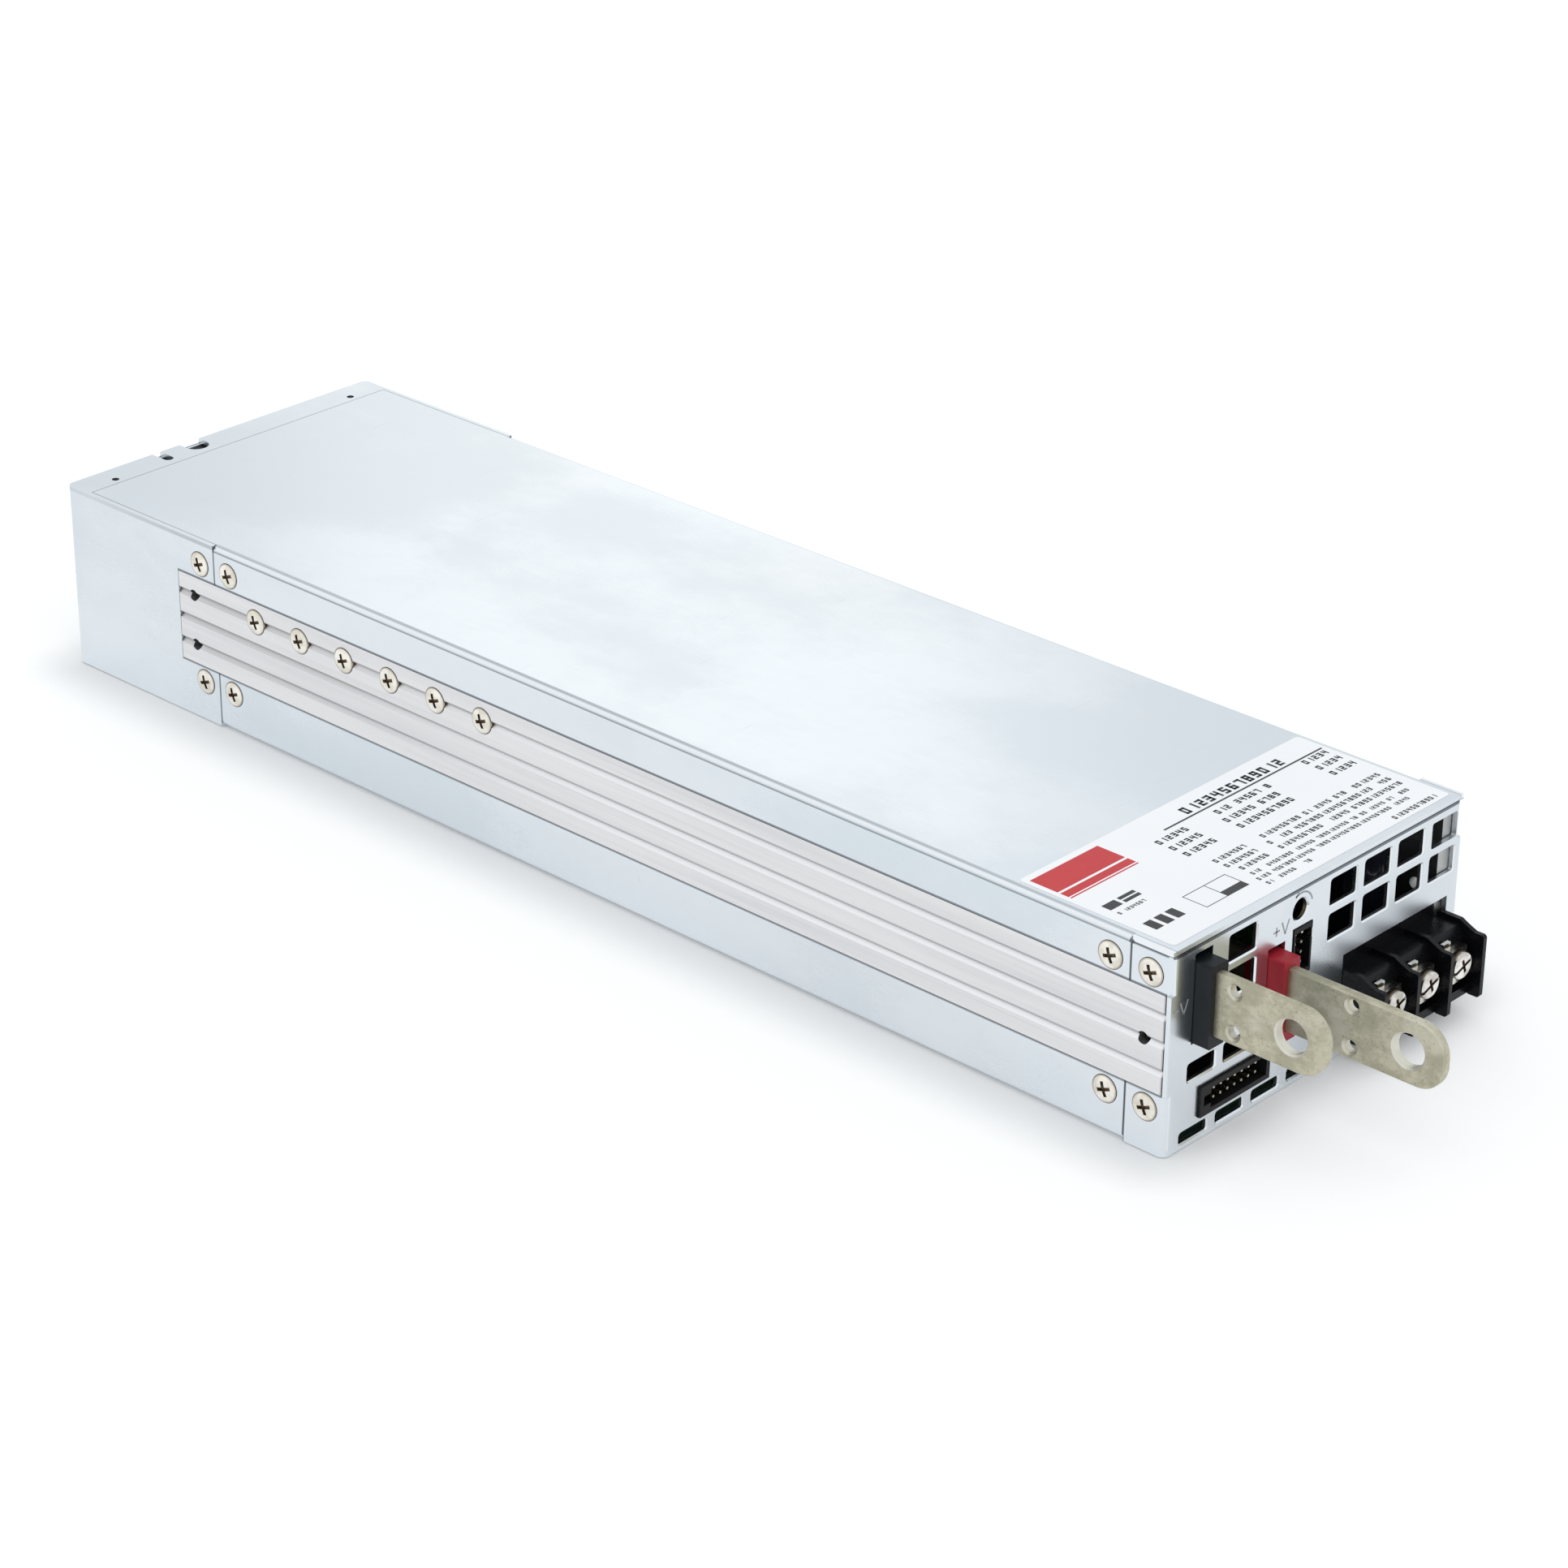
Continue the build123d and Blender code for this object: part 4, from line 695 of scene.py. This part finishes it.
@dataclass(frozen=True)
class PaleFloor:
    """A pale floor that looks white to the camera and keeps a soft shadow around the object,
    partly cast by the lamps and partly painted.

    half_width and half_length are the object's footprint, and reach says how far the
    painted shadow goes from it, in metres.
    """

    name: str = "pale_floor"
    colour: Colour = (0.80, 0.80, 0.80)
    dusty: Colour = (0.76, 0.76, 0.77)
    dust_share: float = 0.05
    half_width: float = 0.0425
    half_length: float = 0.1465
    reach: tuple[float, float] = (-0.001, 0.017)
    near_lift: float = 0.06
    far_lift: float = 0.225
    mirror_lift: float = 0.20

    def lift(self, graph: Graph) -> Wire:
        """How much light of its own the floor shows to the camera, dimmed near the object as a
        painted shadow.

        It is a smooth step over the distance to the object's footprint,
        sqrt(max(|x| - half_width, 0)^2 + max(|y| - half_length, 0)^2).
        """
        x, y, _ = graph.axes()
        beside, before = x.size().past(self.half_width), y.size().past(self.half_length)
        away = (beside * beside + before * before).root()
        # less glow near the object's footprint paints a shadow around it
        return self.near_lift + self.far_lift * away.spread(*self.reach)

    def make(self) -> bpy.types.Material:
        """Builds the floor: a dull surface with some light of its own for camera and mirrors."""
        graph = Graph(bpy.data.materials.new(self.name))
        seen, mirrored, through = graph.rays()
        dust = graph.noise((18.0, 18.0, 18.0), 2.0)
        base = graph.blend(dust * self.dust_share, self.colour, self.dusty)
        glow = (seen + through) * self.lift(graph) + mirrored * self.mirror_lift
        others = {"Specular IOR Level": 0.0, "Emission Color": glow, "Emission Strength": 1.0}
        return graph.close(graph.surface(base, 0.9, others=others))


class Finishes(Enum):
    """Every finish on the object."""

    ZINC = ZincSheet("zinc_sheet")
    HEATSINK = GroovedSink("heatsink_extrusion")
    SIDE_SCREW = PlatedScrew("nickel_side_screw", 0, 0.04225, 0.04250)
    FAN_SCREW = PlatedScrew("nickel_fan_screw", 1, 0.14930, 0.14990, rim_share=0.0)
    # The terminal screws' darker shade is painted: its cloud patches stand in for dark reflections.
    TERMINAL_SCREW = PlatedScrew(
        "nickel_terminal_screw",
        1,
        0.15800,
        0.15840,
        colour=(0.95, 0.93, 0.90),
        shade=(0.46, 0.42, 0.36),
    )
    BAR = TinnedBar("tinned_bar")
    BLACK = Finish(
        "black_insulator", (0.006, 0.008, 0.010), (0.012, 0.014, 0.017), (0.30, 0.44), sheen_level=0.22
    )
    RED = Finish("red_insulator", (0.42, 0.02, 0.035), (0.28, 0.012, 0.022), (0.32, 0.46), sheen_level=0.25)
    TERMINAL = Finish(
        "terminal_moulding", (0.003, 0.003, 0.004), (0.006, 0.006, 0.007), (0.20, 0.34), sheen_level=0.20
    )
    CONTACT = Finish(
        "nickel_contact",
        (0.82, 0.79, 0.73),
        (0.68, 0.64, 0.57),
        (0.10, 0.18),
        metallic=1.0,
        clouds=(300.0, 300.0, 300.0),
        grain_depth=0.000008,
        grain_tint=0.03,
    )
    HEADER = Finish(
        "header_moulding", (0.006, 0.006, 0.007), (0.012, 0.012, 0.013), (0.34, 0.5), sheen_level=0.22
    )
    GOLD = Finish("plated_pin", (0.86, 0.78, 0.60), (0.76, 0.68, 0.50), (0.22, 0.34), metallic=1.0)
    BOARD = CircuitBoard("board_laminate")
    FILM = Finish("insulating_film", (0.70, 0.71, 0.68), (0.60, 0.61, 0.58), (0.22, 0.34))
    BRASS = Finish("turned_brass", (0.76, 0.58, 0.28), (0.62, 0.46, 0.22), (0.24, 0.4), metallic=1.0)
    TRIMMER = Finish("trimmer_moulding", (0.04, 0.12, 0.38), (0.03, 0.09, 0.28), (0.25, 0.4), coat=0.2)
    FAN = Finish("fan_moulding", (0.030, 0.030, 0.033), (0.042, 0.042, 0.045), (0.34, 0.52))
    DEVICE = Finish("device_epoxy", (0.02, 0.02, 0.022), (0.035, 0.035, 0.037), (0.42, 0.6))
    FERRITE = Finish("ferrite", (0.07, 0.07, 0.075), (0.11, 0.11, 0.115), (0.55, 0.75))
    TAPE = Finish(
        "winding_tape",
        (0.72, 0.48, 0.05),
        (0.62, 0.40, 0.04),
        (0.20, 0.32),
        coat=0.3,
        grain=(3000.0, 3000.0, 260.0),
    )
    COPPER = Finish(
        "enamelled_copper", (0.56, 0.20, 0.08), (0.44, 0.14, 0.05), (0.20, 0.34), metallic=0.85, coat=0.4
    )
    POWDER = Finish("coated_core", (0.62, 0.50, 0.10), (0.54, 0.43, 0.08), (0.45, 0.6))
    SLEEVE = Finish("capacitor_sleeve", (0.012, 0.014, 0.022), (0.02, 0.023, 0.035), (0.12, 0.2), coat=0.6)
    FILM_BOX = Finish("film_capacitor_box", (0.60, 0.44, 0.06), (0.52, 0.38, 0.05), (0.28, 0.4), coat=0.2)
    FUSE = Finish("fuse_ceramic", (0.74, 0.72, 0.66), (0.68, 0.66, 0.60), (0.35, 0.5))
    CAP = Finish("plated_cap", (0.74, 0.74, 0.75), (0.64, 0.64, 0.66), (0.15, 0.28), metallic=1.0)
    RELAY = Finish("relay_moulding", (0.03, 0.035, 0.045), (0.045, 0.05, 0.06), (0.35, 0.5))
    PAPER = Finish(
        "label_face",
        (0.945, 0.95, 0.965),
        (0.92, 0.93, 0.945),
        (0.40, 0.52),
        clouds=(30.0, 30.0, 30.0),
        grain_tint=0.01,
    )
    BLACK_INK = Finish("black_ink", (0.02, 0.02, 0.022), (0.035, 0.035, 0.037), (0.4, 0.55))
    RED_INK = Finish("red_ink", (0.62, 0.025, 0.03), (0.54, 0.02, 0.028), (0.4, 0.55), grain_tint=0.02)
    GREY_INK = Finish("grey_ink", (0.42, 0.43, 0.45), (0.36, 0.37, 0.39), (0.4, 0.55))

    @property
    def material(self) -> bpy.types.Material:
        """The finish's material, made on first use."""
        key = f"finish_{self.name.lower()}"
        found = bpy.data.materials.get(key)
        if found is None:
            found = self.value.make()
            found.name = key
        return found


# Mesh helpers


def mesh_piece(
    name: str,
    points: np.ndarray,
    faces: np.ndarray,
    finish: Finishes,
    body: str,
) -> bpy.types.Object:
    """Makes one new piece from arrays and sets it riding.

    Args:
        name: The piece's name.
        points: Vertices in millimetres, one row each.
        faces: Vertex numbers, one row a face.
        finish: The finish that it gets.
        body: The body that it rides on.

    Returns:
        The new object.
    """
    mesh = bpy.data.meshes.new(name)
    mesh.from_pydata((points * MM).tolist(), [], faces.tolist())
    mesh.update()
    piece = bpy.data.objects.new(name, mesh)
    bpy.context.scene.collection.objects.link(piece)
    mesh.materials.append(finish.material)
    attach(piece, body)
    LOG.info("%s: %d faces on %s", name, len(faces), body)
    return piece


@dataclass(frozen=True)
class InkPlane:
    """A flat face that ink is printed on, with its own two axes. Lengths are in millimetres."""

    origin: Triple
    across: Triple
    up: Triple

    def lay(self, quads: np.ndarray) -> tuple[np.ndarray, np.ndarray]:
        """Turns flat quads into vertices and faces on this plane.

        Each corner is origin + u * across + v * up.

        Args:
            quads: Corners (u, v) as an array of shape (count, 4, 2).

        Returns:
            The vertices and the faces.
        """
        flat = quads.reshape(-1, 2)
        aside, above = flat[:, :1] * np.array(self.across), flat[:, 1:] * np.array(self.up)
        return np.array(self.origin) + aside + above, np.arange(len(flat)).reshape(-1, 4)


def bars(boxes: Iterable[Sequence[float]]) -> np.ndarray:
    """Upright quads from (left, low, right, high) rows."""
    left, low, right, high = np.array(list(boxes), dtype=float).T
    corners = ((left, low), (right, low), (right, high), (left, high))
    return np.stack([np.stack(corner, axis=1) for corner in corners], axis=1)


def strokes(lines: Iterable[Sequence[float]], width: float) -> np.ndarray:
    """Quads of one width along (x0, y0, x1, y1) rows.

    A stroke's corners are its two ends moved half the width to each side.
    """
    start, end = np.split(np.array(list(lines), dtype=float), 2, axis=1)
    along = (end - start) / np.linalg.norm(end - start, axis=1, keepdims=True)
    aside = np.stack([-along[:, 1], along[:, 0]], axis=1) * width / 2
    return np.stack([start - aside, end - aside, end + aside, start + aside], axis=1)


# Sub-assemblies


@dataclass
class CarriedNodes:
    """The CAD nodes that keep their own meshes and get a finish each."""

    nodes: dict[str, bpy.types.Object]

    def plan(self) -> dict[Finishes, tuple[str, ...]]:
        """Which nodes get which finish."""
        poles = (1, 2, 3)
        return {
            Finishes.ZINC: ("top_cover", "bottom_cover", "front_panel", "rear_panel"),
            Finishes.HEATSINK: ("left_heatsink", "right_heatsink"),
            Finishes.SIDE_SCREW: (
                "left_case_screws",
                "right_case_screws",
                "left_heatsink_screws",
                "right_heatsink_screws",
            ),
            Finishes.FAN_SCREW: ("fan_screws",),
            Finishes.TERMINAL_SCREW: tuple(f"terminal_screw_{pole}" for pole in poles),
            Finishes.PAPER: ("rating_label",),
            Finishes.BAR: ("negative_busbar", "positive_busbar"),
            Finishes.BLACK: ("negative_insulator",),
            Finishes.RED: ("positive_insulator",),
            Finishes.TERMINAL: ("terminal_block",),
            Finishes.CONTACT: ("terminal_contacts", *(f"terminal_clamp_{pole}" for pole in poles)),
            Finishes.HEADER: ("output_header", "control_header"),
            Finishes.GOLD: ("output_header_pins", "control_header_pins"),
            Finishes.BOARD: ("main_board", "control_board"),
            Finishes.FILM: ("insulation_film",),
            Finishes.BRASS: ("board_standoffs", "trimmer_rotor"),
            Finishes.TRIMMER: ("trimmer_body",),
            Finishes.FAN: ("left_fan_frame", "right_fan_frame", "left_fan_rotor", "right_fan_rotor"),
            Finishes.DEVICE: ("left_power_devices", "right_power_devices"),
            Finishes.FERRITE: ("transformer_core", "line_choke_core"),
            Finishes.TAPE: ("transformer_winding",),
            Finishes.COPPER: ("line_choke_winding", "output_choke_turns", "boost_choke_turns"),
            Finishes.POWDER: ("output_choke_core", "boost_choke_core"),
            Finishes.SLEEVE: ("bulk_capacitors", "output_capacitors", "inlet_capacitor"),
            Finishes.FILM_BOX: ("film_capacitor",),
            Finishes.FUSE: ("fuse_body",),
            Finishes.CAP: ("fuse_caps",),
            Finishes.RELAY: ("inrush_relay",),
        }

    def dress(self) -> None:
        """Puts each finish in its nodes' material slots."""
        for finish, names in self.plan().items():
            for name in names:
                node = self.nodes[name]
                node.data.materials.clear()
                node.data.materials.append(finish.material)
            LOG.info("%s on %s", finish.value.name, ", ".join(names))
        missing = set(self.nodes) - {name for names in self.plan().values() for name in names}
        LOG.info("nodes without a finish: %s", sorted(missing) or "none")


@dataclass(frozen=True)
class PrintedLine:
    """A line of numerals: its ends, its foot, its height and its share of empty places."""

    left: float
    right: float
    foot: float
    size: float
    gaps: float = 0.0


@dataclass
class RatingPrint:
    """The label's generic print: rows of counting numerals, rules, bars and one red block.

    Row d of table tells which strokes numeral d has: head, upper right, lower right, foot,
    lower left, upper left and middle. A numeral is lean * size wide, its strokes are
    weight * size thick, and space * size lies between two. Lengths are in millimetres.
    """

    height: float = 41.115
    lean: float = 0.62
    weight: float = 0.23
    space: float = 0.3
    hairline: float = 0.18
    table: tuple[str, ...] = (
        "1111110",
        "0110000",
        "1101101",
        "1111001",
        "0110011",
        "1011011",
        "1011111",
        "1110000",
        "1111111",
        "1111011",
    )
    random: np.random.Generator = field(default_factory=lambda: np.random.default_rng(5))

    def numerals(self, line: PrintedLine) -> np.ndarray:
        """One line of numerals that count up from 0, made of up to seven strokes each.

        Args:
            line: Where the line stands, how high it is and how much of it is spaces.

        Returns:
            The line's quads.
        """
        strokes_of = np.array([[mark == "1" for mark in row] for row in self.table])
        wide, thick = self.lean * line.size, self.weight * line.size
        half, top = line.size / 2, line.size
        one = np.array(
            [
                (0.0, top - thick, wide, top),
                (wide - thick, half, wide, top),
                (wide - thick, 0.0, wide, half),
                (0.0, 0.0, wide, thick),
                (0.0, 0.0, thick, half),
                (0.0, half, thick, top),
                (0.0, half - thick / 2, wide, half + thick / 2),
            ]
        )
        places = np.arange(line.left, line.right - wide, wide + self.space * line.size)
        places = places[self.random.random(len(places)) > line.gaps]
        chosen = strokes_of[np.arange(len(places)) % len(strokes_of)]
        moved = one + places[:, None, None] * np.array([1.0, 0.0, 1.0, 0.0])
        return bars((moved + np.array([0.0, line.foot, 0.0, line.foot]))[chosen])

    def lines(self) -> list[PrintedLine]:
        """The title, the table under it, the notes, the small print and a corner mark."""
        rows = [PrintedLine(0.5, 30.0, -118.9, 2.5, 0.04)]
        for place, foot in enumerate((-123.0, -126.2, -129.4)):
            rows.append(PrintedLine(-12.5, -3.5, foot, 1.6))
            rows.append(PrintedLine(3.0, 21.0 - place, foot, 1.6, 0.08))
            rows.append(PrintedLine(32.0, 39.2, foot + 0.9, 1.6))
        for foot in (-134.6, -137.1, -139.6):
            rows.append(PrintedLine(-11.0, -1.5, foot, 1.25, 0.05))
            rows.append(PrintedLine(1.5, 38.8, foot, 1.25, 0.14))
        for foot, right in ((-142.1, 37.0), (-144.2, 34.0), (-146.3, 2.0)):
            rows.append(PrintedLine(-11.0, right, foot, 1.0, 0.12))
        rows.append(PrintedLine(24.0, 38.8, -147.4, 1.2, 0.08))
        rows.append(PrintedLine(-38.0, -30.0, -134.6, 0.9, 0.1))
        return rows

    def box(self, left: float, low: float, right: float, high: float) -> list[Sequence[float]]:
        """The four hairlines of an outlined box."""
        line = self.hairline
        return [
            (left, low, right, low + line),
            (left, high - line, right, high),
            (left, low, left + line, high),
            (right - line, low, right, high),
        ]

    def solid_marks(self) -> list[Sequence[float]]:
        """The rule under the title, the outlined box with its filled cell, and plain bars."""
        left, low, right, high, middle = -25.5, -143.8, -13.5, -138.2, -19.6
        line, cell_high = self.hairline, -141.9
        pair_left, pair_right, bar_width = -33.8, -29.4, 2.1
        return [
            (-7.5, -120.0, 39.5, -119.55),
            *self.box(left, low, right, high),
            (middle, low, middle + line, high),
            (middle + line, low + line, right - line, cell_high),
            (-38.0, -132.4, -34.6, -130.2),
            (pair_left, -132.4, pair_right, -131.5),
            (pair_left, -131.1, pair_right, -130.2),
            *((start, -142.6, start + bar_width, -139.4) for start in (-38.0, -35.0, -32.0)),
        ]

    def red_block(self) -> list[Sequence[float]]:
        """A red block over two red rules of the same width."""
        left, right = -39.3, -20.6
        heights = ((-124.6, -124.25), (-123.9, -122.0), (-121.4, -115.0))
        return [(left, low, right, high) for low, high in heights]

    def build(self) -> None:
        """Lays the black and the red ink on the label."""
        plane = InkPlane((0.0, 0.0, self.height), (1.0, 0.0, 0.0), (0.0, 1.0, 0.0))
        black = [self.numerals(line) for line in self.lines()]
        points, faces = plane.lay(np.concatenate([*black, bars(self.solid_marks())]))
        mesh_piece("label_black_print", points, faces, Finishes.BLACK_INK, "case")
        points, faces = plane.lay(bars(self.red_block()))
        mesh_piece("label_red_block", points, faces, Finishes.RED_INK, "case")


@dataclass
class PolarityMarks:
    """The minus and plus marks with their letters, and the trimmer's arc with its arrow.

    A mark is the (left, right) of its dash, its letter's left side and its foot. Lengths
    are in millimetres and angles in degrees.
    """

    face: float = -150.015
    size: float = 2.6
    weight: float = 0.36
    minus: tuple[float, ...] = (-41.6, -40.3, -39.9, 27.6)
    plus: tuple[float, ...] = (-14.0, -12.2, -11.6, 32.4)
    arc_centre: tuple[float, float] = (-6.3, 35.6)
    arc_radius: float = 3.4
    arc_angles: tuple[float, float] = (15.0, 120.0)
    arc_points: int = 13
    barb: tuple[float, float] = (0.9, 0.7)

    def mark(self, left: float, right: float, letter: float, low: float) -> list[Sequence[float]]:
        """A dash and the two strokes of a V beside it."""
        high, middle, dash = low + self.size, letter + 0.4 * self.size, low + self.size / 2
        far = letter + 0.8 * self.size
        return [(left, dash, right, dash), (letter, high, middle, low), (middle, low, far, high)]

    def upright(self, left: float, right: float, low: float) -> Sequence[float]:
        """The stroke that makes a plus of a dash, as long as the dash."""
        middle, dash, half = (left + right) / 2, low + self.size / 2, (right - left) / 2
        return (middle, dash - half, middle, dash + half)

    def arrow(self) -> list[Sequence[float]]:
        """An arc around the trimmer's hole with one barb at its end."""
        turn = np.radians(np.linspace(*self.arc_angles, self.arc_points))
        circle = np.stack([np.cos(turn), np.sin(turn)], axis=1)
        arc = np.array(self.arc_centre) + self.arc_radius * circle
        return [*np.concatenate([arc[:-1], arc[1:]], axis=1), (*arc[-1], *(arc[-1] + np.array(self.barb)))]

    def build(self) -> None:
        """Prints the marks on the front panel."""
        plane = InkPlane((0.0, self.face, 0.0), (1.0, 0.0, 0.0), (0.0, 0.0, 1.0))
        left, right, _, low = self.plus
        lines = [*self.mark(*self.minus), *self.mark(*self.plus), self.upright(left, right, low)]
        points, faces = plane.lay(strokes([*lines, *self.arrow()], self.weight))
        mesh_piece("polarity_marks", points, faces, Finishes.GREY_INK, "case")


# Stage


@dataclass(frozen=True)
class Softbox:
    """A soft rectangular lamp.

    It stands at place and faces aim, has a width and a height, all in metres, and its
    power is in watts. mirrored is False where metal shouldn't show it as a bright patch.
    """

    name: str
    place: Triple
    aim: Triple
    size: tuple[float, float]
    power: float
    colour: Colour = (1.0, 1.0, 1.0)
    mirrored: bool = True

    def light(self) -> None:
        """Puts the lamp in the scene."""
        light = bpy.data.lights.new(self.name, "AREA")
        light.shape = "RECTANGLE"
        light.size, light.size_y = self.size
        light.energy = self.power
        light.color = self.colour
        lamp = bpy.data.objects.new(self.name, light)
        lamp.visible_glossy = self.mirrored
        bpy.context.scene.collection.objects.link(lamp)
        place = Vector(self.place)
        turn = (place - Vector(self.aim)).to_track_quat("Z", "Y").to_matrix().to_4x4()
        lamp.matrix_world = Matrix.Translation(place) @ turn


@dataclass(frozen=True)
class DimPlace:
    """A place that looks dim in mirrors: its direction, and the cosines where it starts and ends."""

    aim: Triple
    start: float
    full: float
    depth: float


@dataclass
class Studio:
    """The floor, the soft lights, the world and the camera. Lengths are in metres."""

    eye: Triple = (-0.57276, -0.55227, 0.40171)
    look: Triple = (0.65557, 0.61019, -0.44485)
    right: Triple = (0.68369, -0.72974, 0.00658)
    focal_pixels: float = 5436.49
    photo_pixels: float = 1932.0
    sensor_width: float = 36.0
    clip: tuple[float, float] = (0.01, 50.0)
    floor_reach: float = 6.0
    floor_drop: float = 0.0003
    sky: float = 0.86
    mirror_sky: float = 0.07
    sky_colour: Colour = (0.95, 0.98, 1.0)
    dim_places: tuple[DimPlace, ...] = (
        DimPlace((-0.79, 0.60, 0.10), 0.965, 0.995, 0.12),
        DimPlace((0.33, 0.61, 0.72), 0.975, 0.995, 0.55),
    )
    softboxes: tuple[Softbox, ...] = (
        Softbox(
            "back_softbox", (0.764, 0.770, 0.53), (0.0, 0.0, 0.04), (0.34, 0.70), 0.20, (1.0, 0.93, 0.84)
        ),
        Softbox("top_softbox", (-0.2, -0.1, 1.6), (0.0, 0.0, 0.0), (1.4, 1.4), 3.6),
        Softbox("side_softbox", (-1.3, 0.1, 0.5), (0.0, 0.0, 0.02), (1.2, 0.9), 1.8, mirrored=False),
    )

    def floor(self) -> None:
        """A wide floor just under the object."""
        corners = [(-1, -1), (1, -1), (1, 1), (-1, 1)]
        points = [(x * self.floor_reach, y * self.floor_reach, -self.floor_drop) for x, y in corners]
        mesh = bpy.data.meshes.new("floor")
        mesh.from_pydata(points, [], [(0, 1, 2, 3)])
        floor = bpy.data.objects.new("floor", mesh)
        bpy.context.scene.collection.objects.link(floor)
        mesh.materials.append(PaleFloor().make())

    def world(self) -> None:
        """White to the camera, an even light on dull surfaces, and two dim places to mirrors.

        The dim places shade the sheets' bends: one low on the left behind the object, one
        high behind it. Each is a smooth step of the cosine of the angle to its direction.
        """
        world = bpy.data.worlds.new("soft_room")
        bpy.context.scene.world = world
        graph = Graph(world)
        seen, glossy, through = graph.rays()
        towards = graph.add("ShaderNodeTexCoord", result="Generated")
        dim: Any = 0.0
        for place in self.dim_places:
            sockets = {0: towards, 1: tuple(Vector(place.aim).normalized())}
            cosine = graph.add("ShaderNodeVectorMath", {"operation": "DOT_PRODUCT"}, sockets, "Value")
            dim = cosine.spread(place.start, place.full) * place.depth + dim
        strength = self.sky + glossy * self.mirror_sky * (1.0 - dim) - glossy * dim * self.sky
        kind = "ShaderNodeBackground"
        soft = graph.add(kind, sockets={"Color": (*self.sky_colour, 1.0), "Strength": strength})
        white = graph.add(kind, sockets={"Color": (1.0, 1.0, 1.0, 1.0), "Strength": 1.0})
        plain = (seen + through).spread(0.0, 1.0)
        graph.close(graph.add("ShaderNodeMixShader", sockets={0: plain, 1: soft, 2: white}))

    def camera(self) -> None:
        """The camera at the photograph's own place, angle and lens."""
        data = bpy.data.cameras.new("photo_camera")
        data.sensor_fit = "HORIZONTAL"
        data.sensor_width = self.sensor_width
        data.lens = self.sensor_width * self.focal_pixels / self.photo_pixels
        data.clip_start, data.clip_end = self.clip
        camera = bpy.data.objects.new("photo_camera", data)
        bpy.context.scene.collection.objects.link(camera)
        back = -Vector(self.look).normalized()
        side = Vector(self.right).normalized()
        turn = Matrix((side, back.cross(side), back)).transposed().to_4x4()
        camera.matrix_world = Matrix.Translation(Vector(self.eye)) @ turn
        bpy.context.scene.camera = camera

    def build(self) -> None:
        """Sets the whole stage."""
        self.camera()
        self.floor()
        self.world()
        for softbox in self.softboxes:
            softbox.light()
        bpy.context.scene.view_settings.view_transform = "Standard"


def main() -> None:
    """Loads the frame, dresses it, adds the printed pieces and sets the stage."""
    logging.basicConfig(level=logging.INFO, format="%(name)s: %(message)s")
    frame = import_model()
    CarriedNodes(frame["nodes"]).dress()
    RatingPrint().build()
    PolarityMarks().build()
    Studio().build()


if __name__ == "__main__":
    main()
